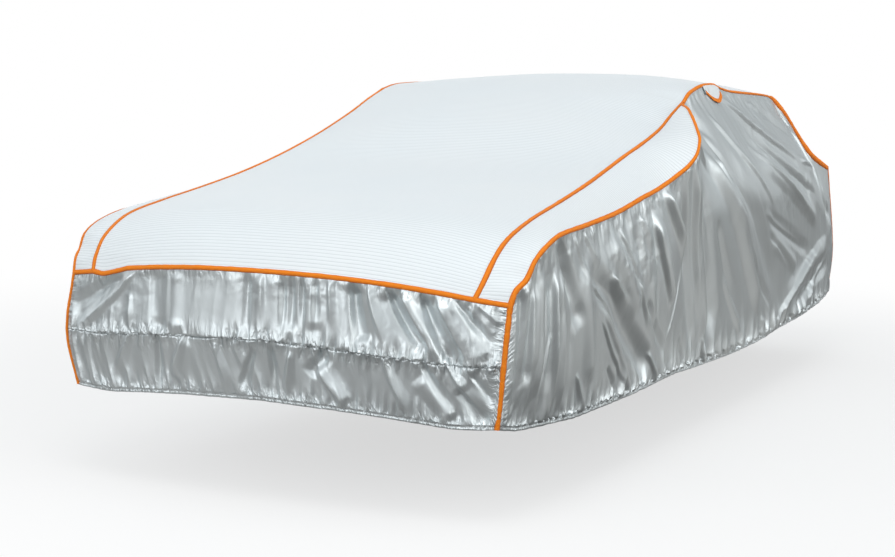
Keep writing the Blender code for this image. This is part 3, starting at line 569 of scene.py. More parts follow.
# ---- Front and rear skirts: how much, at places from right to left ----
FRONT_SLACK = ([-0.86, -0.66, -0.50, -0.12, 0.04, 0.30], [0.55, 0.40, 0.10, 0.12, 0.55, 1.0])
REAR_SLACK = (0.55, 0.35)
ELASTIC_ALONG = ([-0.62, -0.48, -0.14, 0.0], [1.0, 0.45, 0.45, 1.0])
FLAT_MIDDLE, FLAT_REACH, FLAT_UP = -0.27, 0.21, 0.57
FRONT_QUIET = 0.62
END_TUBES = 0.5
END_SLANT = 0.12
END_SEAM = 0.0008
END_GATHER = 0.0010
END_HEM = (0.0026, 0.017)

# ---- How the film settles: its slack, as a share of its width, and how stiff its folds are ----
LEVELS = ((4, 200, 0.012), (2, 150, 0.009), (1, 90, 0.004))  # every so many points, rounds, stiffness
SLACK_ALL = 0.003
SLACK_SEAM = 0.060
SLACK_HEM = 0.34
SLACK_GATHER = 0.30
SLACK_CORNER = 0.080
SLACK_DOWN = 0.002
SLACK_DOWN_GATHER = 0.12
LEAST_RISE = -0.007
MOST_RISE = 0.024
STRAIGHT_PULL, SLANTED_PULL, PUSH_SHARE = 0.5, 0.22, 0.62

# ---- Padded sheets, with a rib every 15 mm ----
RIB_PITCH = 0.015
RIB_HEIGHT = 0.0009
RIB_ROWS = (0.0, 0.14, 0.5, 0.86)
SAG_SHARE, SAG_REACH = 0.6, 0.09

# ---- Tapes and stitches ----
TAPE_HALF = 0.009
CORNER_HALF = 0.0110
HALF_ALONG = (
    [0.0, 0.10, 0.25, 3.95, 4.12, 4.75],
    [CORNER_HALF, CORNER_HALF, TAPE_HALF, TAPE_HALF, 0.0220, 0.0200],
)
PROUD_ALONG = ([4.02, 4.12, 4.60, 4.75], [0.0, 3.2, 3.0, 0.0])
TAPE_PROFILE = (  # which side, the share of the half width, and the height over the sheets
    (-1, 0.94, -0.0012),
    (-1, 1.00, 0.0006),
    (-1, 0.86, 0.0019),
    (-1, 0.45, 0.0026),
    (0, 0.00, 0.0029),
    (1, 0.45, 0.0026),
    (1, 0.86, 0.0019),
    (1, 1.00, 0.0006),
    (1, 0.94, -0.0012),
)
STITCH_LIFT, STITCH_INSET = 0.0024, 0.72
STITCH_SIZES = ("Stitch pitch", "Stitch length", "Thread width")
TAPE_STITCH = (0.0052, 0.0036, 0.0011)
HEM_STITCH = (0.0060, 0.0042, 0.0012)
GATHER_STITCH = (0.0060, 0.0042, 0.0014)
HEM_STITCH_UP, HEM_STITCH_CLEAR, GATHER_STITCH_CLEAR = HEM_BAND - 0.002, 0.0004, 0.0006

# ---- The roof tab ----
TAB_START = 2.55
TAB_END = 2.84
TAB_DEPTH = 0.086
TAB_TAPE = 0.018
TAB_LIFT = 0.006
TAB_CLEAR = 0.0025
TAB_CURL = 0.0022
TAB_ROWS = 10
TAB_COLUMNS = 48
TAB_LEAST = 0.42

# ---- Colours, as linear values, and how finishes catch the light ----
FILM_LIGHT = (0.715, 0.752, 0.762)
FILM_DARK = (0.612, 0.655, 0.666)
FILM_METAL = 0.80
FILM_ROUGH = 0.33
GATHERS_ACROSS = (52.0, 17.0, 1.0)
GATHERS_DOWN = (17.0, 62.0, 1.0)
GATHER_DEPTH = 0.022
WHITE_COOL = (0.78, 0.83, 0.86)
WHITE_WARM = (0.84, 0.86, 0.87)
# painted shade for the padded sheets' rib grooves
WHITE_GROOVE_SHADE = (0.42, 0.45, 0.47)
ORANGE_BRIGHT = (1.0, 0.29, 0.014)
ORANGE_DEEP = (0.92, 0.22, 0.010)
# painted shade for the tapes' edges and their lower side
ORANGE_EDGE_SHADE = (0.42, 0.07, 0.008)
ORANGE_THREAD = (0.80, 0.30, 0.06)
GREY_THREAD = (0.45, 0.46, 0.46)
SOFT_BOXES = (  # the way to each, how tight it is, its strength and its colour
    ((1.0, 0.0, 0.16), 4.5, 2.40, (0.98, 1.00, 1.00)),
    ((-0.28, -1.0, 0.26), 7.0, 2.12, (0.97, 1.00, 1.02)),
    ((-1.0, 0.35, 0.25), 7.0, 1.10, (0.97, 1.00, 1.02)),
    ((-0.55, 1.0, 0.05), 14.0, 1.10, (0.98, 1.00, 1.01)),
    ((0.50, 1.0, 0.10), 14.0, 0.34, (0.98, 1.00, 1.01)),
    ((-0.15, -0.3, 1.0), 5.0, 0.20, (0.95, 1.00, 1.03)),
)
FLOOR_SIZE = 60.0
FLOOR_SEEN = (0.92, 0.92, 0.92)
# the floor's painted light, seen only in reflections: its tint, and the glow added everywhere
FLOOR_PAINTED_LIGHT_TINT = (0.20, 0.194, 0.188)
FLOOR_PAINTED_LIGHT_BASE = (0.052, 0.050, 0.048)
FLOOR_GLOW = 0.60
SKY = (
    (0.00, (0.15, 0.15, 0.15)),
    (0.49, (0.15, 0.15, 0.15)),
    (0.51, (0.22, 0.23, 0.23)),
    (0.62, (0.22, 0.235, 0.24)),
    (0.80, (0.24, 0.26, 0.27)),
    (1.00, (0.38, 0.405, 0.42)),
)


# ---- Curves, as the solids have them ----
def shared_slope(before, after, step_before, step_after):
    """The slope where two rises meet, which never overshoots."""
    same_way = before * after > 0
    w1, w2 = 2 * step_after + step_before, step_after + 2 * step_before
    before, after = np.where(same_way, before, 1), np.where(same_way, after, 1)
    return np.where(same_way, (w1 + w2) / (w1 / before + w2 / after), 0)


def between(a, b, slope_a, slope_b, step, t):
    near = a * (1 + 2 * t) * (1 - t) ** 2 + slope_a * step * t * (1 - t) ** 2
    return near + b * t**2 * (3 - 2 * t) - slope_b * step * t**2 * (1 - t)


def curve(at, value, where):
    at, value = np.asarray(at, float), np.asarray(value, float)
    step = np.diff(at)
    rise = np.diff(value) / step
    slope = np.concatenate([rise[:1], shared_slope(rise[:-1], rise[1:], step[:-1], step[1:]), rise[-1:]])
    where = np.clip(np.asarray(where, float), at[0], at[-1])
    i = np.clip(np.searchsorted(at, where, side="right") - 1, 0, len(at) - 2)
    return between(value[i], value[i + 1], slope[i], slope[i + 1], step[i], (where - at[i]) / step[i])


def read(table, name, where):
    return curve([row[0] for row in table], [getattr(row, name) for row in table], where)


def changed(table, change):
    rows = []
    for row in table:
        more = {name: float(read(change, name, row.station)) for name in ("back", "out", "up")}
        rows.append(row._replace(**{name: getattr(row, name) + value for name, value in more.items()}))
    return tuple(rows)


Lines = namedtuple("Lines", "inner outer belt hem")
LEFT = Lines(INNER_SEAM, OUTER_SEAM, BELT, HEM)
RIGHT = Lines(*map(changed, LEFT, (INNER_CHANGE, OUTER_CHANGE, BELT_CHANGE, HEM_CHANGE)))
SIDES = {"left": LEFT, "right": RIGHT}


def place(out, back, up):
    out, back, up = np.broadcast_arrays(out, back, up)
    return np.stack([out, back - REST_BACK, up - REST_UP], axis=-1)


def edge_line(table, station):
    return place(read(table, "out", station), read(table, "back", station), read(table, "up", station))


def unit(v):
    return v / np.maximum(np.linalg.norm(v, axis=-1, keepdims=True), 1e-12)


def smooth(t):
    t = np.clip(t, 0, 1)
    return t * t * (3 - 2 * t)


def mirrored(points):
    return np.asarray(points) * np.array([-1.0, 1.0, 1.0])


def turned(points):
    return mirrored(np.flip(points, axis=-2))


def stations():
    pieces = [np.linspace(s.start, s.end, s.steps, endpoint=False) for s in SPANS]
    return np.append(np.concatenate(pieces), LENGTH)


# ---- Surfaces, finer than the solids' but on the same lines ----
def half_rows(lines, at, shares):
    """The top panel's rows, worked out for the side that has these lines."""
    front = (at <= ROOF_JUNCTION)[:, None]
    out, back, up = (
        np.where(front, read(lines.inner, name, at)[:, None], read(lines.outer, name, at)[:, None])
        for name in ("out", "back", "up")
    )
    middle = [read(TOP_MIDDLE, name, at)[:, None] for name in ("back", "up", "round_power")]
    bent = np.abs(shares)[None] ** middle[2]
    return place(out * shares, middle[0] + (back - middle[0]) * bent, middle[1] + (up - middle[1]) * bent)


def top_rows(at, shares):
    right, left = half_rows(RIGHT, at, shares), half_rows(LEFT, at, shares)
    return np.where(shares[None, :, None] < 0, right, left)


def gore_rows(lines, at, shares):
    inner, outer = edge_line(lines.inner, at)[:, None], edge_line(lines.outer, at)[:, None]
    shares = shares[None, :, None]
    crown = GORE_CROWN * np.linalg.norm(outer - inner, axis=-1, keepdims=True)
    crown = crown * smooth(np.asarray(at) / GORE_CROWN_START)[:, None, None]
    return inner + (outer - inner) * shares + crown * shares * (1 - shares)


def away_from_corners(at):
    return np.minimum(smooth(at / EVEN_REACH), smooth((LENGTH - at) / EVEN_REACH))


def three_level(top, middle, low, at_middle, shares):
    """A smooth curve through three levels, for every station and every share of the way down."""
    m = at_middle[:, None]
    first, second = (middle - top) / m, (low - middle) / (1 - m)
    slope = shared_slope(first, second, m, 1 - m)
    s = shares[:, None, None]
    above = between(top, middle, first, slope, m, np.clip(s / m, 0, 1))
    below = between(middle, low, slope, second, 1 - m, np.clip((s - m) / (1 - m), 0, 1))
    return np.where(s < m, above, below)


def side_grid(lines, at, shares):
    seam, belt, hem = (edge_line(table, at) for table in (lines.outer, lines.belt, lines.hem))
    upper = np.linalg.norm(belt - seam, axis=-1)
    lower = np.linalg.norm(hem - belt, axis=-1)
    mix = away_from_corners(at)
    middle = GATHER_SHARE * (1 - mix) + upper / (upper + lower) * mix
    return three_level(seam, belt, hem, middle, shares)


def skirt_grid(top_edge, left_corner, right_corner, shares, gather, hem, way):
    on_right = top_edge[:, 0] < 0
    share = top_edge[:, 0] / np.where(on_right, top_edge[0, 0], top_edge[-1, 0])
    across = np.linspace(0, 1, len(top_edge))
    rows = []
    for down, left, right in zip(shares, left_corner, mirrored(right_corner)):
        upper = min(down / GATHER_SHARE, 1.0)
        lower = max((down - GATHER_SHARE) / (1 - GATHER_SHARE), 0.0)
        ahead = read(gather, "ahead", share) * (upper - lower) + read(hem, "ahead", share) * lower
        up = (
            (top_edge[:, 2] + REST_UP) * (1 - upper)
            + read(gather, "up", share) * (upper - lower)
            + read(hem, "up", share) * lower
        )
        moved_right, moved_left = right[1] - top_edge[0, 1], left[1] - top_edge[-1, 1]
        row = top_edge.copy()
        row[:, 0] *= np.where(on_right, right[0] / top_edge[0, 0], left[0] / top_edge[-1, 0])
        row[:, 1] += moved_right * (1 - across) + moved_left * across + way * ahead
        row[:, 2] = up - REST_UP
        row[0], row[-1] = right, left
        rows.append(row)
    return np.array(rows)


# ---- Folds ----
def beside(line, along, up):
    """What share of the way along a line each point lies, and how far beside it."""
    d_a, d_u = line.to_along - line.from_along, line.to_up - line.from_up
    length = np.hypot(d_a, d_u)
    rel_a, rel_u = along - line.from_along, up - line.from_up
    return (rel_a * d_a + rel_u * d_u) / length**2, (rel_a * d_u - rel_u * d_a) / length


def fold_height(folds, along, up):
    """The main folds, as the solids have them."""
    total = np.zeros(np.shape(along))
    for fold in folds:
        t, away = beside(fold, along, up)
        away = np.abs(away) / fold.half_width
        across = np.where(away < 1, np.cos(np.minimum(away, 1) * np.pi / 2) ** 2, 0)
        fade = smooth(t / FOLD_END + FOLD_END) * smooth((1 - t) / FOLD_END + FOLD_END)
        total += fold.height * across * fade
    return total


def crease_height(creases, along, up):
    """Creases with a crest that may lean to one side, and that may bend and taper."""
    total = np.zeros(np.shape(along))
    for c in creases:
        t, away = beside(c, along, up)
        inside = np.clip(t, 0, 1)
        away = away - c.bend * 4 * inside * (1 - inside)
        across = away / (c.from_width + (c.to_width - c.from_width) * inside)
        shaped = np.where(across < c.lean, (across + 1) / (1 + c.lean), (1 - across) / (1 - c.lean))
        shaped = np.clip(shaped, 0, 1)
        crest = CRISP * shaped + (1 - CRISP) * smooth(shaped)
        fade = smooth(t / CREASE_START + 0.3) * smooth((1.08 - t) / CREASE_END)
        total += CREASE_BOLD * c.height * crest * fade
    return total


def noise(x, pitch, seed):
    """A smooth random line, between about -1 and 1, with a bend about every pitch."""
    rng = np.random.default_rng(seed)
    low = np.floor(np.min(x) / pitch) - 2
    count = int(np.max(x) / pitch - low) + 5
    value = rng.uniform(-1, 1, count)
    place_in = np.asarray(x) / pitch - low
    i = np.floor(place_in).astype(int)
    t = place_in - i
    a, b, c, d = (value[i + k] for k in (-1, 0, 1, 2))
    return b + 0.5 * t * (c - a + t * (2 * a - 5 * b + 4 * c - d + t * (3 * (b - c) + d - a)))


def noise2(x, y, pitch, seed):
    """Smooth random bumps over a surface, between about -1 and 1."""
    rng = np.random.default_rng(seed)
    x, y = np.asarray(x) / pitch, np.asarray(y) / pitch
    low_x, low_y = int(np.floor(x.min())), int(np.floor(y.min()))
    table = rng.uniform(-1, 1, (int(x.max()) - low_x + 3, int(y.max()) - low_y + 3))
    i, k = np.floor(x).astype(int) - low_x, np.floor(y).astype(int) - low_y
    t, u = smooth(x - np.floor(x)), smooth(y - np.floor(y))
    return (table[i, k] * (1 - t) + table[i + 1, k] * t) * (1 - u) + (
        table[i, k + 1] * (1 - t) + table[i + 1, k + 1] * t
    ) * u


def puckers(along, away, reach, pitch, seed):
    """The small folds that run away from a gathered line: fine beside it, and fewer and wider further off."""
    total = np.zeros(np.shape(along))
    for k, (far, wide, strength) in enumerate(((0.35, 1.0, 0.55), (0.75, 1.9, 0.9), (1.6, 3.6, 1.1))):
        n = noise(along, pitch * wide, seed + k)
        ridged = 1 - 1.6 * np.abs(n)
        reach_here = reach * far * (1 + 0.45 * noise(along, pitch * wide * 3, seed + 10 + k))
        x = np.maximum(away, 0) / reach_here
        total += strength * ridged * x * np.exp(1 - x * 1.15) * wide
    return total / 3


def grid_normals(grid, outward):
    down, along = np.gradient(grid, axis=0), np.gradient(grid, axis=1)
    normal = unit(np.cross(down, along))
    flip = np.sign((normal * outward).sum(-1, keepdims=True))
    return normal * np.where(flip == 0, 1, flip)


def from_core(points):
    away = np.array(points)
    away[..., 1] *= CORE_BACK_SHARE
    away[..., 2] -= CORE_UP
    return unit(away)


def lengths(grid, axis):
    """How far along its own surface each point of a grid lies from the first row or column."""
    step = np.linalg.norm(np.diff(grid, axis=axis), axis=-1)
    start = np.zeros_like(np.take(step, [0], axis=axis))
    return np.concatenate([start, np.cumsum(step, axis=axis)], axis=axis)


def facets(x, y, pitch, seed):
    """Flat facets between sharp creases, such as thin film takes when it is crumpled."""
    rng = np.random.default_rng(seed)
    warp_x = noise2(x, y, pitch * 1.6, seed + 1)
    warp_y = noise2(x, y, pitch * 1.6, seed + 2)
    x, y = x / pitch + 0.45 * warp_x, y / pitch + 0.45 * warp_y
    low_x, low_y = int(np.floor(x.min())), int(np.floor(y.min()))
    table = rng.uniform(-1, 1, (int(x.max()) - low_x + 4, int(y.max()) - low_y + 4))
    i, k = np.floor(x).astype(int), np.floor(y).astype(int)
    t, u = x - i, y - k
    i, k = i - low_x, k - low_y
    odd = (i + k) % 2 == 1
    t = np.where(odd, 1 - t, t)
    a, b = table[i, k], table[i + 1, k]
    c, d = table[i, k + 1], table[i + 1, k + 1]
    a, b, c, d = np.where(odd, b, a), np.where(odd, a, b), np.where(odd, d, c), np.where(odd, c, d)
    near = a + (b - a) * t + (c - a) * u
    far = d + (c - d) * (1 - t) + (b - d) * (1 - u)
    return np.where(t + u < 1, near, far)


def patch_strength(patches, along, up):
    total = np.zeros(np.shape(along))
    for p in patches:
        away = ((along - p.along) / p.reach_along) ** 2 + ((up - p.up) / p.reach_up) ** 2
        total += p.strength * np.exp(-away)
    return np.minimum(total, 1.0)


def film_wrinkles(along, down, crumple, seed):
    """Small uneven relief all over the film, stronger where it is crumpled."""
    broad = 0.0028 * noise2(along, down * 0.6, 0.26, seed)
    broad += 0.0008 * noise2(along, down * 0.4, 0.11, seed + 1)
    drawn = 0.0022 * facets(along * 1.7, down * 0.7, 0.085, seed + 2)
    fine = 0.0012 * facets(along * 1.3, down, 0.034, seed + 5)
    tiny = 0.0008 * facets(along, down, 0.019, seed + 8)
    broad += drawn * (0.3 + 1.1 * crumple)
    broad += fine * (0.06 + 1.5 * crumple)
    return broad + tiny * (0.02 + 1.3 * crumple)


def tubes(q, down, seed):
    """Soft upright tubes with sharp valleys between them, as film that hangs from a gathered seam has."""
    wide = np.abs(noise2(q, down * 0.12, 0.085, seed)) - 0.35
    narrow = np.abs(noise2(q, down * 0.18, 0.038, seed + 1)) - 0.35
    return 0.0085 * wide + 0.0016 * narrow


def hem_shape(to_hem, width):
    """The narrow stitched hem, with the film drawn in along its upper edge."""
    inside = np.clip(to_hem / width, 0, 1)
    band = 0.0010 * np.sin(np.pi * inside) ** 0.5 * (to_hem < width)
    return band - 0.0016 * np.exp(-(((to_hem - width) / 0.003) ** 2))


def spread(values, rows, columns, shape):
    """Values at some rows and columns of a grid, drawn out over the whole grid."""
    all_rows, all_columns = np.arange(shape[0]), np.arange(shape[1])
    down = np.stack([np.interp(all_rows, rows, v) for v in values.reshape(len(rows), -1).T], axis=1)
    down = down.reshape(shape[0], len(columns), -1)
    across = [np.interp(all_columns, columns, v) for v in np.moveaxis(down, 1, 2).reshape(-1, len(columns))]
    return np.moveaxis(np.array(across).reshape(shape[0], -1, shape[1]), 2, 1)


def settle(shape, normal, start, slack_across, slack_down, held):
    """Lets a sheet that is longer than its seams buckle, from broad folds to small ones.

    Every length across and down is brought to its own length and its slack, the held points stay, and the
    new folds are kept from turning sharp. It answers how far each point moves."""
    everything, later, earlier = slice(None), slice(1, None), slice(None, -1)
    moved = unit(normal) * start[..., None]
    for every, rounds, stiffness in LEVELS:
        rows, columns = (np.append(np.arange(0, n, every), n - 1) for n in shape.shape[:2])
        rows = np.unique(np.append(rows, np.flatnonzero(held.all(axis=1))))
        columns = np.unique(columns)
        pick = np.ix_(rows, columns)
        base, out, free = shape[pick], normal[pick], ~held[pick][..., None]
        more_across, more_down = slack_across[pick], slack_down[pick]
        links = []
        for a, b, across, down, share in (
            ((everything, later), (everything, earlier), 1, 0, STRAIGHT_PULL),
            ((later, everything), (earlier, everything), 0, 1, STRAIGHT_PULL),
            ((later, later), (earlier, earlier), 0.5, 0.5, SLANTED_PULL),
            ((later, earlier), (earlier, later), 0.5, 0.5, SLANTED_PULL),
        ):
            rest = np.linalg.norm(base[a] - base[b], axis=-1)
            rest = rest * (1 + across * more_across[a] + down * more_down[a])
            links.append((a, b, rest[..., None], share))
        here = moved[pick] * free
        for _ in range(rounds):
            points = base + here
            push = np.zeros_like(points)
            for a, b, rest, share in links:
                link = points[a] - points[b]
                length = np.sqrt((link * link).sum(-1, keepdims=True))
                pull = link * (share * (1 - rest / length))
                push[a] -= pull
                push[b] += pull
            here = here + push * PUSH_SHARE
            smoothed = here.copy()
            smoothed[:, 1:-1] += stiffness * (here[:, 2:] - 2 * here[:, 1:-1] + here[:, :-2])
            smoothed[1:-1] += stiffness * (here[2:] - 2 * here[1:-1] + here[:-2])
            here = smoothed * free
            rise = (here * out).sum(-1, keepdims=True)
            here = (here + out * (np.clip(rise, LEAST_RISE, MOST_RISE) - rise)) * free
        moved = spread(here, rows, columns, shape.shape[:2])
    return moved


def rolled_hem(grid, outward):
    """The rows that turn the hem in and up behind itself."""
    hem = grid[-1]
    down = unit(hem - grid[-4])
    out = unit(outward[-1] - down * (outward[-1] * down).sum(-1, keepdims=True))
    centre = hem - out * HEM_ROLL
    rows = [centre + HEM_ROLL * (out * np.cos(turn) + down * np.sin(turn)) for turn in HEM_ROLL_TURNS]
    rows.append(rows[-1] - down * HEM_TURN_UP)
    return np.concatenate([grid, np.array(rows)])


def down_shares(count, gather):
    """Shares of the way down a skirt, closer together at the hem, and beside a gathered line."""
    shares = [np.linspace(0, 1, count), 1 - np.array(HEM_EXTRA)]
    if gather:
        shares.append(GATHER_SHARE + np.array(GATHER_EXTRA))
    return np.unique(np.round(np.concatenate(shares), 5))


# ---- Objects ----
def add_mesh(name, points, faces, material, uv, values):
    mesh = bpy.data.meshes.new(name)
    mesh.vertices.add(len(points))
    mesh.vertices.foreach_set("co", np.asarray(points, np.float32).ravel())
    faces = np.asarray(faces, np.int32)
    count, sides = faces.shape
    mesh.loops.add(count * sides)
    mesh.loops.foreach_set("vertex_index", faces.ravel())
    mesh.polygons.add(count)
    mesh.polygons.foreach_set("loop_start", np.arange(0, count * sides, sides, dtype=np.int32))
    mesh.update(calc_edges=True)
    layer = mesh.uv_layers.new(name="metres")
    layer.data.foreach_set("uv", np.asarray(uv, np.float32)[faces.ravel()].ravel())
    for key, value in values.items():
        attribute = mesh.attributes.new(key, "FLOAT", "POINT")
        attribute.data.foreach_set("value", np.asarray(value, np.float32).ravel())
    mesh.shade_smooth()
    mesh.materials.append(material)
    return new_object(name, mesh)


def add_grid(name, grid, outward, material, uv, values):
    """A sheet from a grid of points, with its faces turned outward."""
    rows, columns = grid.shape[:2]
    i, k = np.meshgrid(np.arange(rows - 1), np.arange(columns - 1), indexing="ij")
    a = (i * columns + k).ravel()
    quads = np.stack([a, a + columns, a + columns + 1, a + 1], axis=1)
    normal = np.cross(np.gradient(grid, axis=0), np.gradient(grid, axis=1))
    if (normal * outward).sum() <= 0:
        quads = quads[:, ::-1]
    flat = {key: value.ravel() for key, value in values.items()}
    return add_mesh(name, grid.reshape(-1, 3), quads, material, uv.reshape(-1, 2), flat)


def finish_piece(piece, slot, *nodes):
    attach(piece, "root")
    if nodes:
        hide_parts(*nodes)


# ---- Film skirts ----
class Skirt:
    """A film skirt: its plain surface, its coordinates in metres, and its relief."""

    def __init__(self, plain, outward, along, seed):
        self.plain, self.seed = plain, seed
        self.normal = grid_normals(plain, outward)
        self.along = along
        self.up = plain[..., 2] + REST_UP
        self.down = lengths(plain, 0)
        self.to_hem = self.down[-1] - self.down
        self.across = lengths(plain, 1)
        self.to_tape = np.minimum(self.across, self.across[:, -1:] - self.across)
        self.ease = smooth(self.to_tape / EDGE_EASE) * smooth(self.down / EDGE_EASE)
        self.height = np.zeros(self.down.shape)
        above_hem = np.maximum(self.to_hem - HEM_BAND, 0)
        self.gathered = 0.55 * np.exp(-self.down / 0.028) + 0.8 * np.exp(-above_hem / 0.022)
        self.drawn = 0.6 * np.exp(-self.to_tape / 0.020)
        self.seam_slack = SLACK_SEAM
        self.gather_share = 1.0
        self.calm_reach = CALM_REACH

    def add_folds(self, folds, creases):
        relief = fold_height(folds, self.along, self.up) + crease_height(creases, self.along, self.up)
        self.height += self.ease * relief

    def add_tubes(self, strength, slant):
        """Tubes all over the skirt. slant says how far they run along the skirt for each metre down."""
        q = self.along - slant * self.down + 0.06 * noise2(self.along, self.down, 0.4, self.seed + 80)
        self.height += strength * self.ease * smooth(self.to_hem / 0.05) * tubes(q, self.down, self.seed + 81)

    def add_crumple(self, patches, scattered):
        near = 0.6 * np.exp(-self.down / 0.05) + 0.5 * np.exp(-self.to_hem / 0.04)
        near += 0.4 * np.exp(-self.to_tape / 0.05)
        near += scattered * np.clip(noise2(self.along, self.up, 0.22, self.seed + 90), 0, 1)
        self.crumple = np.clip(patch_strength(patches, self.along, self.up) + near, 0, 1)
        ease = smooth((self.to_tape - TAPE_HALF) / 0.03) * smooth((self.down - TAPE_HALF) / 0.03)
        self.height += ease * film_wrinkles(self.across, self.down, self.crumple, self.seed + 50)

    def add_seam_puckers(self, strength):
        self.height += strength * puckers(self.across, self.down - TAPE_HALF, 0.055, 0.021, self.seed)

    def add_hem(self, height, pitch):
        self.height += height * puckers(self.across, self.to_hem - HEM_BAND, 0.045, pitch, self.seed + 30)
        ruffle = HEM_RUFFLE * noise(self.across, pitch * 0.8, self.seed + 33)
        self.height += ruffle * np.exp(-((self.to_hem / HEM_BAND) ** 2))
        self.height += hem_shape(self.to_hem, HEM_BAND)

    def add_gather(self, row, height):
        """A line of elastic sewn to the back of the film, level with one row."""
        away = self.down - self.down[row]
        for k, (way, reach) in enumerate(((1, 0.055), (-1, 0.075))):
            part = np.maximum(way * away, 0)
            self.height += height * puckers(self.across, part, reach, 0.013, self.seed + 40 + k)
        self.height -= 0.0028 * np.exp(-((away / 0.006) ** 2)) * smooth(self.to_tape / 0.02)
        self.crumple = np.clip(self.crumple + 0.6 * np.exp(-((away / 0.05) ** 2)), 0, 1)
        self.gathered = np.maximum(self.gathered, np.exp(-np.abs(away) / 0.024))

    def settle_edges(self):
        """The film lies a little low where the tapes cover it."""
        near = np.minimum(self.to_tape, self.down)
        self.height = self.height * smooth(near / TAPE_HALF) - 0.0006 * (near < TAPE_HALF)

    def let_settle(self, gather_row=None):
        """Works out the folds that the slack film falls into between its seams."""
        depth = 0.75 + 0.7 * noise2(self.across, self.down, 0.075, self.seed + 70)
        self.gathered *= np.clip(depth, 0.15, 1.3)
        shape = self.plain + self.normal * self.height[..., None]
        slack = SLACK_ALL * (1 + 2.5 * self.crumple)
        slack += self.seam_slack * np.exp(-self.down / 0.06) + SLACK_HEM * np.exp(-self.to_hem / 0.036)
        slack *= smooth((self.to_hem - HEM_BAND) / 0.012)
        slack_down = SLACK_CORNER * np.exp(-self.to_tape / 0.018) + SLACK_DOWN
        held = self.to_hem < HEM_BAND
        held[0] = held[:, 0] = held[:, -1] = True
        if gather_row is not None:
            away = np.abs(self.down - self.down[gather_row])
            slack += SLACK_GATHER * self.gather_share * np.exp(-away / 0.020)
            slack_down += SLACK_DOWN_GATHER * np.exp(-away / 0.030)
            held[gather_row] = True
        slack *= 1 + 0.75 * noise2(self.across, self.down * 0.3, 0.10, self.seed + 61)
        slanted = self.across + 0.5 * self.down * noise2(self.across, self.down, 0.5, self.seed + 62)
        start = 0.0009 * noise2(slanted, self.down * 0.35, 0.034, self.seed + 63)
        start += 0.00012 * noise2(self.across, self.down, 0.012, self.seed + 64)
        moved = settle(shape, self.normal, start, slack, slack_down, held)
        calm = smooth((np.minimum(self.to_tape, self.down) - 0.006) / self.calm_reach)
        self.grid = shape + moved * calm[..., None]


def add_skirt(name, skirt, material, turn=np.array):
    """The skirt as a piece. Its UV map is in metres, and its attributes steer the finish."""
    grid = turn(rolled_hem(skirt.grid, skirt.normal))
    extra = len(grid) - len(skirt.plain)

    def with_hem(value):
        return np.concatenate([value, np.repeat(value[-1:], extra, axis=0)])

    uv = np.stack([with_hem(skirt.across), lengths(grid, 0)], -1)
    values = {label: with_hem(getattr(skirt, label)) for label in ("crumple", "gathered", "drawn")}
    outward = np.concatenate([turn(skirt.normal), np.zeros((extra, *skirt.normal.shape[1:]))])
    piece = add_grid(name, grid, outward, material, uv, values)
    finish_piece(piece, "silver_film", name)


def seam_strength(along):
    """The side skirt is gathered most along the middle of its front half."""
    total, *bumps = SEAM_GATHERS
    for height, middle, reach in bumps:
        total = total + height * np.exp(-(((along - middle) / reach) ** 2))
    return total


def front_slack(along):
    """The front skirt is gathered most towards the cover's left, and hardly at all right of its middle."""
    return SLACK_SEAM * np.interp(along, *FRONT_SLACK)


def rear_slack(along):
    return SLACK_SEAM * (REAR_SLACK[0] + REAR_SLACK[1] * noise(along, 0.3, 77))


def side_skirt(plain, shift, seed):
    skirt = Skirt(plain, from_core(plain), plain[..., 1] + REST_BACK - shift, seed)
    along = skirt.along
    skirt.add_folds(SIDE_FOLDS, SIDE_CREASES)
    skirt.add_tubes(np.interp(along, *TUBES_ALONG), np.interp(along, *SLANT_ALONG))
    skirt.add_crumple(SIDE_PATCHES, SIDE_CRUMPLED)
    skirt.add_seam_puckers(SIDE_PUCKERS * seam_strength(along))
    skirt.add_hem(*SIDE_HEM)
    skirt.settle_edges()
    skirt.seam_slack = SIDE_SEAM_SLACK * seam_strength(along)
    at_rear = smooth((along - REAR_CALM[0]) / REAR_CALM[1])
    skirt.calm_reach = CALM_REACH + REAR_CALM_REACH * at_rear
    skirt.height *= 1 - REAR_CALM_SHARE * at_rear * smooth(1 - skirt.down / REAR_CALM_DOWN)
    skirt.let_settle()
    return skirt


def end_skirt(plain, way, folds, creases, patches, seed, gather_row, slack, quiet):
    """The front or rear skirt. quiet says how much its film calms where it lies nearly flat."""
    skirt = Skirt(plain, np.array([0.0, way, 0.0]), plain[..., 0], seed)
    along = skirt.along
    skirt.add_folds(folds, creases)
    skirt.add_tubes(slack(along) / SLACK_SEAM * END_TUBES, END_SLANT * np.sign(along))
    skirt.add_crumple(patches, 0.0)
    skirt.add_seam_puckers(END_SEAM)
    skirt.add_gather(gather_row, END_GATHER)
    skirt.add_hem(*END_HEM)
    skirt.settle_edges()
    flat = np.exp(-(((along - FLAT_MIDDLE) / FLAT_REACH) ** 4)) * smooth((skirt.up - FLAT_UP) / 0.04)
    skirt.height *= 1 - quiet * flat
    skirt.seam_slack = slack(along)
    skirt.gather_share = np.interp(along, *ELASTIC_ALONG)
    skirt.let_settle(gather_row)
    return skirt


# ---- Padded sheets ----
def rib_stations(start, end):
    """Stations for the rows of a ribbed sheet, and where each row lies in its rib."""
    fine = np.linspace(start, end, 2000)
    middle = place(0.0, read(TOP_MIDDLE, "back", fine), read(TOP_MIDDLE, "up", fine))
    run = np.append(0, np.cumsum(np.linalg.norm(np.diff(middle, axis=0), axis=1)))
    count = int(round(run[-1] / RIB_PITCH))
    in_rib = np.tile(RIB_ROWS, count)
    at = (np.repeat(np.arange(count), len(RIB_ROWS)) + in_rib) * run[-1] / count
    return np.append(np.interp(at, run, fine), end), np.append(in_rib, 0.0)


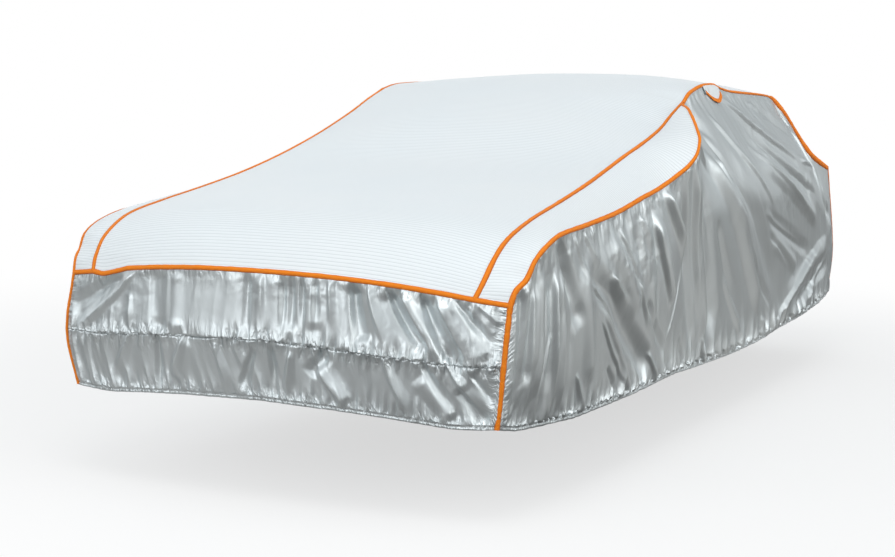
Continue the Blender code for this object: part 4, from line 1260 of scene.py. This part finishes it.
def add_ribbed(name, grid, in_rib, material):
    normal = grid_normals(grid, UPWARD)
    u, v = lengths(grid, 1), lengths(grid, 0)
    relief = RIB_HEIGHT * (np.sin(np.pi * in_rib) ** 0.6 - 1)[:, None]
    relief = relief + 0.0006 * noise2(u, v, 0.09, 71) + 0.0012 * noise2(u, v, 0.35, 72)
    rise = smooth(np.minimum(u, u[:, -1:] - u) / 0.03)
    points = grid + normal * (relief * (0.3 + 0.7 * rise))[..., None]
    # marks the groove rows, where the white is darkened as painted shade
    groove_shade = np.broadcast_to(((in_rib == 0) * 1.0)[:, None], u.shape)
    piece = add_grid(name, points, normal, material, np.stack([u, v], -1), {"groove_shade": groove_shade})
    finish_piece(piece, "padded_white", name)


def sag_front(rows, at):
    """Draws the front edge of the top panel down where its seam sags."""
    drop = SAG_SHARE * read(FRONT_SAG, "drop", rows[..., 0]) * (1 - smooth(at / SAG_REACH))[:, None]
    rows = rows.copy()
    rows[..., 2] -= drop
    return rows


# ---- Tapes ----
def toward(line, neighbours):
    along = unit(np.gradient(line, axis=0))
    way = neighbours - line
    return unit(way - along * (way * along).sum(-1, keepdims=True))


def facing(tangent, side, out):
    normal = unit(np.cross(tangent, side))
    return normal * np.where((normal * out).sum(-1, keepdims=True) < 0, -1, 1)


def add_tape(name, path, halves, material, seed, proud=1.0):
    """A tape over a seam, and the lines that it is sewn along.

    path holds the seam, the ways to both sides and the way out. halves says how far the tape reaches to each
    side, which may change along it, and proud how many times its usual height it stands."""
    line, to_a, to_b, outward = path
    along = unit(np.gradient(line, axis=0))
    normals = [facing(along, way, outward) for way in (to_a, to_b)]
    run = lengths(line[:, None], 0)[:, 0]
    wave = 0.0005 * noise(run, 0.022, seed) + 0.0004 * noise(run, 0.009, seed + 1)
    rows = []
    for side, share, height in TAPE_PROFILE:
        way, normal, half = (to_a, normals[0], halves[0]) if side < 0 else (to_b, normals[1], halves[1])
        if side == 0:
            normal = unit(normals[0] + normals[1])
        edge = 1 + 0.05 * noise(run, 0.03, seed + 3 + side)
        lift = height * (1 + (proud - 1) * (1 - share**3)) + wave * (height > 0)
        rows.append(line + way * (half * share * edge)[:, None] + normal * lift[:, None])
    points = np.stack(rows, axis=1)
    shares = np.array([side * share for side, share, _ in TAPE_PROFILE])

    def spread_out(value):
        return np.broadcast_to(value, points.shape[:2])

    uv = np.stack([spread_out(run[:, None]), spread_out(shares * TAPE_HALF)], -1)
    # edge and lower steer painted shade on the tape: darker towards both edges, and more towards its lower
    # side
    values = {"edge": spread_out(np.abs(shares) ** 3), "lower": spread_out(np.clip(shares, 0, 1))}
    piece = add_grid(name, points, outward[:, None], material, uv, values)
    finish_piece(piece, "orange_tape", name)
    lines = []
    for way, normal, half in zip((to_a, to_b), normals, halves):
        lift = np.broadcast_to(STITCH_LIFT * (1 + (proud - 1) * 0.6), half.shape)[:, None]
        lines.append((line + way * (half * STITCH_INSET)[:, None] + normal * lift)[1:-1])
    return lines


def plain_halves(line):
    return np.full((2, len(line)), TAPE_HALF)


def smooth_ways(ways, times=3):
    for _ in range(times):
        ways = unit(np.concatenate([ways[:1], (ways[:-2] + 2 * ways[1:-1] + ways[2:]) / 4, ways[-1:]]))
    return ways


def beside_corner(plain, from_shares, to_shares):
    """The end skirt's points beside its left corner, at the side skirt's rows."""
    return np.stack([np.interp(to_shares, from_shares, plain[:, -3, k]) for k in range(3)], axis=1)


def side_binding(lines, at, shares, end_shares, front_plain, rear_plain):
    """The path up the front corner, along the outer seam and the roof edge, and down the rear corner."""
    seam = side_grid(lines, at, np.array([0.0, SURFACE_NEAR]))
    front_corner = side_grid(lines, at[[0, 1]], shares)
    rear_corner = side_grid(lines, at[[-1, -2]], shares)
    line = np.concatenate([front_corner[::-1, 0], seam[0, 1:], rear_corner[1:, 0]])
    into_side = np.concatenate([front_corner[::-1, 1], seam[1, 1:-1], rear_corner[:, 1]])
    front_next = beside_corner(front_plain, end_shares, shares)
    rear_next = beside_corner(rear_plain, end_shares, shares)
    gore_next = gore_rows(lines, at[at <= ROOF_JUNCTION], np.array([0.9]))[:, 0]
    top_next = half_rows(lines, at[at > ROOF_JUNCTION], np.array([0.97]))[:, 0]
    top_line = np.concatenate([gore_next, top_next])[1:-1]
    into_rest = np.concatenate([front_next[::-1], top_line, rear_next])
    ways = [smooth_ways(toward(line, next_to)) for next_to in (into_rest, into_side)]
    corner = np.full(len(shares), CORNER_HALF)
    half = np.concatenate([corner, np.interp(at[1:], *HALF_ALONG), corner[1:]])
    proud = 1 + np.concatenate([0 * corner, np.interp(at[1:], *PROUD_ALONG), 0 * corner[1:]])
    return (line, *ways, from_core(line)), (np.minimum(half, CORNER_HALF), half), proud


def inner_binding(lines, at):
    """The path along the seam between the top panel and a gore."""
    at = at[at <= ROOF_JUNCTION]
    inner = gore_rows(lines, at, np.array([0.0, 0.1]))
    line = inner[:, 0]
    way_gore = toward(line, inner[:, 1])
    way_gore[-3:] = way_gore[-4]
    way_top = toward(line, half_rows(lines, at, np.array([0.97]))[:, 0])
    return line, way_top, way_gore, np.tile([0.2, 0.0, 1.0], (len(line), 1))


def add_roof_tab(white, orange):
    share = np.linspace(0, 1, TAB_COLUMNS + 1)
    where = TAB_START + (TAB_END - TAB_START) * share
    line = edge_line(LEFT.outer, where)
    down = toward(line, side_grid(LEFT, where, np.array([0.06]))[0])
    normal = facing(unit(np.gradient(line, axis=0)), down, np.array([1.0, 0.0, 0.3]))
    bow = np.sin(np.pi * share)[:, None]
    depth = TAB_DEPTH * (TAB_LEAST + (1 - TAB_LEAST) * bow)
    rows = []
    for part in np.linspace(0, 1, TAB_ROWS + 1):
        lift = TAB_CLEAR + TAB_LIFT * part * bow**0.5 + TAB_CURL * part * noise(share, 0.21, 900)[:, None]
        rows.append(line + down * (TAPE_HALF * 0.6 + depth * part) + normal * lift)
    grid = np.array(rows)
    uv = np.stack([lengths(grid, 1), lengths(grid, 0)], -1)
    tab = add_grid("roof_tab_left", grid, normal[None], white, uv, {"groove_shade": np.zeros(grid.shape[:2])})
    finish_piece(tab, "padded_white", "roof_tab_left")
    up_way = toward(grid[-1], grid[-2])
    halves = (np.full(len(line), TAB_TAPE), np.full(len(line), 0.002))
    add_tape("roof_tab_edge_left", (grid[-1], up_way, -up_way, normal), halves, orange, 910)


# ---- Nodes ----
def fill(tree, made, inputs):
    """Sets a node's inputs: a value is set, and another node's output is linked."""
    for key, value in inputs.items():
        if hasattr(value, "is_output"):
            tree.links.new(value, made.inputs[key])
        else:
            made.inputs[key].default_value = value


def node(tree, kind, inputs=None, **settings):
    made = tree.nodes.new(kind)
    for key, value in settings.items():
        setattr(made, key, value)
    fill(tree, made, inputs or {})
    return made


def maths(tree, operation, *values, clamp=False):
    made = node(tree, "ShaderNodeMath", dict(enumerate(values)), operation=operation, use_clamp=clamp)
    return made.outputs[0]


def mix_colour(tree, share, first, second, **settings):
    """Colours are nodes' outputs, or three numbers."""
    pair = [c if hasattr(c, "is_output") else (*c, 1) for c in (first, second)]
    inputs = {0: share, 6: pair[0], 7: pair[1]}
    return node(tree, "ShaderNodeMix", inputs, data_type="RGBA", **settings).outputs[2]


def new_group(name, inputs, outputs):
    group = bpy.data.node_groups.new(name, "ShaderNodeTree")
    for label, kind, value in inputs:
        socket = group.interface.new_socket(name=label, in_out="INPUT", socket_type="NodeSocket" + kind)
        if value is not None:
            socket.default_value = value
    for label, kind in outputs:
        group.interface.new_socket(name=label, in_out="OUTPUT", socket_type="NodeSocket" + kind)
    return group, group.nodes.new("NodeGroupInput").outputs, group.nodes.new("NodeGroupOutput")


# ---- Shader groups for what more than one finish uses ----
def wear_group():
    """Uneven soiling: a slow mask and a fine one, on the cloth's own coordinates in metres."""
    inputs = [("Place", "Vector", None), ("Size", "Float", 0.3)]
    group, given, result = new_group("soiling", inputs, [("Slow", "Float"), ("Fine", "Float")])
    scale = maths(group, "DIVIDE", 1.0, given["Size"])
    for label, times, detail in (("Slow", 1.0, 3.0), ("Fine", 14.0, 6.0)):
        inputs = {"Vector": given["Place"], "Scale": maths(group, "MULTIPLY", scale, times), "Detail": detail}
        texture = node(group, "ShaderNodeTexNoise", inputs)
        fill(group, result, {label: texture.outputs["Fac"]})
    return group


def weave_group():
    """Two sets of threads that cross, one over the other, as a height."""
    inputs = [("Place", "Vector", None), ("Pitch", "Float", 0.0011)]
    group, given, result = new_group("weave", inputs, [("Height", "Float")])
    parts = node(group, "ShaderNodeSeparateXYZ", {0: given["Place"]})
    waves = []
    for part in ("X", "Y"):
        turn = maths(group, "MULTIPLY", parts.outputs[part], 2 * np.pi)
        waves.append(maths(group, "SINE", maths(group, "DIVIDE", turn, given["Pitch"])))
    crossed = maths(group, "MULTIPLY", *waves)
    fill(group, result, {"Height": maths(group, "MULTIPLY_ADD", crossed, 0.5, 0.5)})
    return group


def pucker_group():
    """Small gathers side by side: a noise that is drawn out one way. Drawn holds how much, each way."""
    inputs = [("Place", "Vector", None), ("Drawn", "Vector", None)]
    group, given, result = new_group("puckers", inputs, [("Height", "Float")])
    drawn = node(group, "ShaderNodeVectorMath", {0: given["Place"], 1: given["Drawn"]}, operation="MULTIPLY")
    inputs = {"Vector": drawn.outputs[0], "Scale": 1.0, "Detail": 2.0, "Distortion": 1.1}
    fill(group, result, {"Height": node(group, "ShaderNodeTexNoise", inputs).outputs["Fac"]})
    return group


GROUPS = {"soiling": wear_group(), "weave": weave_group(), "puckers": pucker_group()}


# ---- Finishes ----
def start_material(name):
    material = bpy.data.materials.new(name)
    material.use_nodes = True
    tree = material.node_tree
    uv = node(tree, "ShaderNodeUVMap", uv_map="metres").outputs["UV"]
    return material, tree, tree.nodes["Principled BSDF"], uv


def use_group(tree, name, place_on, **values):
    inputs = {"Place": place_on, **values}
    return node(tree, "ShaderNodeGroup", inputs, node_tree=GROUPS[name]).outputs


def attribute(tree, name):
    return node(tree, "ShaderNodeAttribute", attribute_name=name).outputs["Fac"]


def texture(tree, place_on, scale, detail, **settings):
    inputs = {"Vector": place_on, "Scale": scale, "Detail": detail}
    return node(tree, "ShaderNodeTexNoise", inputs, **settings)


def add_bumps(tree, shader, *layers):
    """Bumps one on another. Each layer is a height and how far it stands out."""
    first = {}
    for height, distance in layers:
        bump = node(tree, "ShaderNodeBump", {"Height": height, "Distance": distance, **first})
        first = {"Normal": bump.outputs["Normal"]}
    fill(tree, shader, first)


def film_material():
    """Silver film: satin metal with soft creases, crisper where it is crumpled, and a faint grain."""
    material, tree, shader, uv = start_material("silver film")
    soil = use_group(tree, "soiling", uv, Size=0.45)
    tone = mix_colour(tree, soil["Slow"], FILM_DARK, FILM_LIGHT)
    rough = maths(tree, "MULTIPLY_ADD", soil["Fine"], 0.12, FILM_ROUGH)
    fill(tree, shader, {"Metallic": FILM_METAL, "Base Color": tone, "Roughness": rough})
    crease = texture(tree, uv, 34.0, 2.0, noise_type="RIDGED_MULTIFRACTAL")
    fill(tree, crease, {"Roughness": 0.4})
    share = maths(tree, "MULTIPLY_ADD", attribute(tree, "crumple"), 0.8, 0.02)
    layers = [(maths(tree, "MULTIPLY", crease.outputs["Fac"], share), 0.0012)]
    for label, drawn in (("gathered", GATHERS_ACROSS), ("drawn", GATHERS_DOWN)):
        small = use_group(tree, "puckers", uv, Drawn=drawn)["Height"]
        layers.append((maths(tree, "MULTIPLY", small, attribute(tree, label)), GATHER_DEPTH))
    add_bumps(tree, shader, *layers, (texture(tree, uv, 900.0, 1.0).outputs["Fac"], 0.00001))
    return material


def padded_material():
    """White laminated foam: matt, with a fine embossed grain and painted shade in the grooves."""
    material, tree, shader, uv = start_material("padded white")
    soil = use_group(tree, "soiling", uv, Size=0.6)
    clean = mix_colour(tree, soil["Slow"], WHITE_COOL, WHITE_WARM)
    # painted shade: the white is darkened along the rib grooves
    groove_shade = maths(tree, "MULTIPLY", attribute(tree, "groove_shade"), 0.55)
    tone = mix_colour(tree, groove_shade, clean, WHITE_GROOVE_SHADE)
    fill(tree, shader, {"Base Color": tone, "Roughness": 0.52, "Sheen Weight": 0.15, "Sheen Roughness": 0.4})
    weave = use_group(tree, "weave", uv, Pitch=0.0022)["Height"]
    pores = texture(tree, uv, 260.0, 2.0).outputs["Fac"]
    add_bumps(tree, shader, (weave, 0.00012), (pores, 0.0003))
    return material


def tape_material():
    """Orange woven tape, with painted shade towards both its edges, deepest along its lower edge."""
    material, tree, shader, uv = start_material("orange tape")
    soil = use_group(tree, "soiling", uv, Size=0.12)
    plain = mix_colour(tree, soil["Fine"], ORANGE_DEEP, ORANGE_BRIGHT)
    # painted shade: darker towards both edges, and more towards the lower side
    edge = maths(tree, "MULTIPLY", attribute(tree, "edge"), 0.5)
    low = maths(tree, "MULTIPLY", attribute(tree, "lower"), 0.35)
    tone = mix_colour(tree, maths(tree, "ADD", edge, low, clamp=True), plain, ORANGE_EDGE_SHADE)
    fill(tree, shader, {"Base Color": tone, "Roughness": 0.65, "Specular IOR Level": 0.25})
    add_bumps(tree, shader, (use_group(tree, "weave", uv, Pitch=0.0012)["Height"], 0.0003))
    return material


def thread_material(name, colour):
    material, tree, shader, _ = start_material(name)
    place_on = node(tree, "ShaderNodeTexCoord").outputs["Object"]
    soil = use_group(tree, "soiling", place_on, Size=0.05)
    tone = mix_colour(tree, soil["Fine"], tuple(c * 0.75 for c in colour), colour)
    fill(tree, shader, {"Base Color": tone, "Roughness": 0.5})
    return material


# ---- Stitches ----
def stitch_tree(material):
    """Geometry Nodes that put a capsule for each stitch along a set of lines."""
    tree = bpy.data.node_groups.new("stitches", "GeometryNodeTree")
    sockets = [("Lines", "INPUT", "Geometry"), *((label, "INPUT", "Float") for label in STITCH_SIZES)]
    for label, way, kind in (*sockets, ("Stitches", "OUTPUT", "Geometry")):
        tree.interface.new_socket(name=label, in_out=way, socket_type="NodeSocket" + kind)
    given = node(tree, "NodeGroupInput").outputs
    lines = node(tree, "GeometryNodeMeshToCurve", {"Mesh": given["Lines"]})
    inputs = {"Curve": lines.outputs["Curve"], "Length": given["Stitch pitch"]}
    points = node(tree, "GeometryNodeCurveToPoints", inputs, mode="LENGTH").outputs
    capsule = node(tree, "GeometryNodeMeshUVSphere", {"Segments": 5, "Rings": 3, "Radius": 0.5})
    inputs = {"X": given["Thread width"], "Y": given["Thread width"], "Z": given["Stitch length"]}
    size = node(tree, "ShaderNodeCombineXYZ", inputs)
    inputs = {"Geometry": capsule.outputs["Mesh"], "Scale": size.outputs["Vector"]}
    stretched = node(tree, "GeometryNodeTransform", inputs)
    inputs = {"Points": points["Points"], "Rotation": points["Rotation"], "Instance": stretched.outputs[0]}
    copies = node(tree, "GeometryNodeInstanceOnPoints", inputs)
    real = node(tree, "GeometryNodeRealizeInstances", {"Geometry": copies.outputs["Instances"]})
    inputs = {"Geometry": real.outputs["Geometry"], "Material": material}
    finish = node(tree, "GeometryNodeSetMaterial", inputs)
    node(tree, "NodeGroupOutput", {"Stitches": finish.outputs["Geometry"]})
    return tree


def add_stitches(name, lines, material, slot, sizes):
    mesh = bpy.data.meshes.new(name + "_lines")
    starts = np.cumsum([0] + [len(line) for line in lines])
    edges = [(k, k + 1) for a, b in zip(starts[:-1], starts[1:]) for k in range(a, b - 1)]
    mesh.from_pydata([tuple(p) for p in np.concatenate(lines)], edges, [])
    guide = new_object(name + "_lines", mesh)
    modifier = guide.modifiers.new("stitches", "NODES")
    modifier.node_group = stitch_tree(material)
    sizes = dict(zip(STITCH_SIZES, sizes))
    for item in modifier.node_group.interface.items_tree:
        if item.name in sizes:
            modifier[item.identifier] = sizes[item.name]
    made = bpy.data.meshes.new_from_object(guide.evaluated_get(bpy.context.evaluated_depsgraph_get()))
    made.name = name
    piece = new_object(name, made)
    bpy.data.objects.remove(guide, do_unlink=True)
    made.shade_smooth()
    finish_piece(piece, slot)


def hem_line(skirt):
    """A line over a skirt's relief, a little above its hem."""
    grid = skirt.grid + skirt.normal * HEM_STITCH_CLEAR
    return np.array(
        [
            [np.interp(-HEM_STITCH_UP, -skirt.to_hem[:, k], grid[:, k, axis]) for axis in range(3)]
            for k in range(grid.shape[1])
        ]
    )


# ---- The whole cover ----
def build_cover():
    film, white, orange = film_material(), padded_material(), tape_material()
    tape_thread = thread_material("orange thread", ORANGE_THREAD)
    film_thread = thread_material("grey thread", GREY_THREAD)
    shares, end_shares = down_shares(DOWN_STEPS, False), down_shares(SKIRT_DOWN, True)
    at = stations()
    same = {"left": np.array, "right": mirrored}

    skirts = {}
    for side, shift, seed in (("left", 0.0, 100), ("right", RIGHT_SIDE_SHIFT, 200)):
        skirts[side] = side_skirt(side_grid(SIDES[side], at, shares), shift, seed)
        add_skirt("side_skirt_" + side, skirts[side], film, same[side])

    # The padded sheets
    rib_at, in_rib = rib_stations(0.0, LENGTH)
    across = np.linspace(-1, 1, TOP_STEPS + 1)
    across = np.sign(across) * (1 - (1 - np.abs(across)) ** TOP_EDGE_POWER)
    top = sag_front(top_rows(rib_at, across), rib_at)
    add_ribbed("top_panel", top, in_rib, white)
    gore_share = np.linspace(0, 1, GORE_STEPS + 1)
    in_gore = rib_at <= ROOF_JUNCTION
    for side, turn in (("left", np.array), ("right", turned)):
        gore = turn(gore_rows(SIDES[side], rib_at[in_gore], gore_share))
        add_ribbed("gore_" + side, gore, in_rib[in_gore], white)

    # The front and rear skirts
    front_at = np.array([0.0, SPANS[0].end / SPANS[0].steps])
    middle = sag_front(top_rows(front_at, np.linspace(-1, 1, FRONT_STEPS + 1)), front_at)
    left, right = (gore_rows(lines, front_at, gore_share) for lines in (LEFT, RIGHT))
    front_edges = np.concatenate([turned(right)[:, :-1], middle, left[:, 1:]], axis=1)
    tail_edges = top_rows(np.array([LENGTH, LENGTH - 0.01]), np.linspace(-1, 1, TAIL_STEPS + 1))
    left, right = (side_grid(lines, at[[0, -1]], end_shares) for lines in (LEFT, RIGHT))
    plain = [
        skirt_grid(edges[0], left[:, k], right[:, k], end_shares, gather, hem, way)
        for k, (edges, gather, hem, way) in enumerate(
            ((front_edges, FRONT_GATHER, FRONT_HEM, -1), (tail_edges, REAR_GATHER, REAR_HEM, 1))
        )
    ]
    gather_row = int(np.argmin(np.abs(end_shares - GATHER_SHARE)))
    shapes = (FRONT_FOLDS, FRONT_CREASES, FRONT_PATCHES, 300), (REAR_FOLDS, REAR_CREASES, REAR_PATCHES, 400)
    front = end_skirt(plain[0], -1.0, *shapes[0], gather_row, front_slack, FRONT_QUIET)
    rear = end_skirt(plain[1], 1.0, *shapes[1], gather_row, rear_slack, 0.0)
    add_skirt("front_skirt", front, film)
    add_skirt("rear_skirt", rear, film)

    # The bindings
    stitched = []
    for side, seed in (("left", 500), ("right", 520)):
        lines, turn = SIDES[side], same[side]
        ends = plain if side == "left" else [turned(p) for p in plain]
        path, halves, proud = side_binding(lines, at, shares, end_shares, *ends)
        path = [turn(p) for p in path]
        stitched += add_tape("side_binding_" + side, path, halves, orange, seed, proud)
        path = [turn(p) for p in inner_binding(lines, at)]
        halves = plain_halves(path[0])
        stitched += add_tape("inner_binding_" + side, path, halves, orange, seed + 10)
    for name, edges, below, way, seed in (
        ("front_binding", front_edges, plain[0][2], -1.0, 540),
        ("rear_binding", tail_edges, plain[1][2], 1.0, 560),
    ):
        edge = edges[0]
        path = (edge, toward(edge, edges[1]), toward(edge, below), np.tile([0.0, way, 0.4], (len(edge), 1)))
        stitched += add_tape(name, path, plain_halves(edge), orange, seed)

    # The stitches and the roof tab
    add_stitches("tape_stitches", stitched, tape_thread, "orange_tape", TAPE_STITCH)
    hems = [hem_line(skirt) for skirt in (front, rear, skirts["left"])]
    hems.append(mirrored(hem_line(skirts["right"])))
    add_stitches("hem_stitches", hems, film_thread, "silver_film", HEM_STITCH)
    gathers = [
        (skirt.grid + skirt.normal * GATHER_STITCH_CLEAR)[gather_row + shift, 2:-2]
        for skirt in (front, rear)
        for shift in (-1, 1)
    ]
    add_stitches("gather_stitches", gathers, film_thread, "silver_film", GATHER_STITCH)
    add_roof_tab(white, orange)


build_cover()


# ---- Floor, light and sky ----
def studio_group():
    """How bright the studio is in a direction: large soft boxes all round the cover and one above it."""
    group, given, result = new_group("studio", [("Way", "Vector", None)], [("Colour", "Color")])
    total = None
    for way, tightness, strength, colour in SOFT_BOXES:
        inputs = {0: given["Way"], 1: Vector(way).normalized()}
        towards = node(group, "ShaderNodeVectorMath", inputs, operation="DOT_PRODUCT").outputs["Value"]
        level = maths(group, "POWER", maths(group, "MAXIMUM", towards, 0.0), tightness)
        level = maths(group, "MULTIPLY", level, strength)
        tint = mix_colour(group, level, (0, 0, 0), colour, clamp_factor=False)
        total = mix_colour(group, 1.0, total, tint, blend_type="ADD") if total else tint
    fill(group, result, {"Colour": total})
    return group


def split_by_camera(tree, unseen, seen):
    """One shader where the camera looks straight at it, and another for everything that is lit by it."""
    inputs = {0: node(tree, "ShaderNodeLightPath").outputs["Is Camera Ray"], 1: unseen, 2: seen}
    return node(tree, "ShaderNodeMixShader", inputs).outputs[0]


def add_floor(studio):
    """Nearly white where it is seen, with a soft shadow. The film mirrors a floor that glows with painted
    light, brighter on the same side as the studio's soft boxes.
    """
    corners = [(x * FLOOR_SIZE, y * FLOOR_SIZE, -REST_UP) for x, y in ((-1, -1), (1, -1), (1, 1), (-1, 1))]
    mesh = bpy.data.meshes.new("floor")
    mesh.from_pydata(corners, [], [(0, 1, 2, 3)])
    floor = new_object("floor", mesh)
    material = bpy.data.materials.new("floor")
    material.use_nodes = True
    tree = material.node_tree
    shader = tree.nodes["Principled BSDF"]
    fill(tree, shader, {"Base Color": (*FLOOR_SEEN, 1), "Roughness": 0.9, "Specular IOR Level": 0.1})
    place_on = node(tree, "ShaderNodeTexCoord").outputs["Object"]
    far = node(tree, "ShaderNodeVectorMath", {0: place_on}, operation="LENGTH").outputs["Value"]
    inputs = {"Value": far, "From Min": 2.2, "From Max": 6.0, "To Min": FLOOR_GLOW, "To Max": 1.0}
    reach = node(tree, "ShaderNodeMapRange", inputs, interpolation_type="SMOOTHSTEP").outputs["Result"]
    inputs = {0: reach, 1: shader.outputs[0], 2: node(tree, "ShaderNodeEmission").outputs[0]}
    seen = node(tree, "ShaderNodeMixShader", inputs).outputs[0]

    # for every ray but the camera's, the floor glows with painted light, shaped by the studio's soft boxes
    level = node(tree, "ShaderNodeVectorMath", {0: place_on, 1: (1, 1, 0)}, operation="MULTIPLY").outputs[0]
    way = node(tree, "ShaderNodeVectorMath", {0: level}, operation="NORMALIZE").outputs[0]
    lobes = node(tree, "ShaderNodeGroup", {"Way": way}, node_tree=studio).outputs["Colour"]
    painted_floor_light = mix_colour(tree, 1.0, lobes, FLOOR_PAINTED_LIGHT_TINT, blend_type="MULTIPLY")
    lit = mix_colour(tree, 1.0, painted_floor_light, FLOOR_PAINTED_LIGHT_BASE, blend_type="ADD")
    glow = node(tree, "ShaderNodeEmission", {"Color": lit})
    fill(tree, tree.nodes["Material Output"], {"Surface": split_by_camera(tree, glow.outputs[0], seen)})
    mesh.materials.append(material)


def add_sky(studio):
    """White behind the cover, and the studio for everything else."""
    world = bpy.data.worlds.new("studio")
    bpy.context.scene.world = world
    world.use_nodes = True
    tree = world.node_tree
    tree.nodes.clear()
    way = node(tree, "ShaderNodeTexCoord").outputs["Generated"]
    height = node(tree, "ShaderNodeSeparateXYZ", {0: way}).outputs["Z"]
    ramp = node(tree, "ShaderNodeValToRGB", {"Fac": maths(tree, "MULTIPLY_ADD", height, 0.5, 0.5)})
    stops = ramp.color_ramp.elements
    while len(stops) < len(SKY):
        stops.new(0.5)
    for stop, (at, colour) in zip(stops, SKY):
        stop.position = at
        stop.color = (*colour, 1)
    lobes = node(tree, "ShaderNodeGroup", {"Way": way}, node_tree=studio).outputs["Colour"]
    lit = mix_colour(tree, 1.0, ramp.outputs["Color"], lobes, blend_type="ADD")
    unseen = node(tree, "ShaderNodeBackground", {"Color": lit}).outputs[0]
    seen = node(tree, "ShaderNodeBackground", {"Color": (1, 1, 1, 1)}).outputs[0]
    node(tree, "ShaderNodeOutputWorld", {"Surface": split_by_camera(tree, unseen, seen)})


def add_light(name, place_at, aim, size, power, colour):
    data = bpy.data.lights.new(name, "AREA")
    data.shape = "DISK"
    data.size = size
    data.energy = power
    data.color = colour
    light = new_object(name, data)
    light.location = place_at
    light.rotation_mode = "QUATERNION"
    light.rotation_quaternion = (Vector(aim) - Vector(place_at)).to_track_quat("-Z", "Y")


studio = studio_group()
add_floor(studio)
add_sky(studio)
add_light("key", (2.0, -6.5, 7.0), (0.0, -0.5, -0.5), 4.5, 205.0, (1.0, 1.0, 0.99))
bpy.context.scene.view_settings.view_transform = "Standard"
bpy.context.scene.view_settings.look = "None"
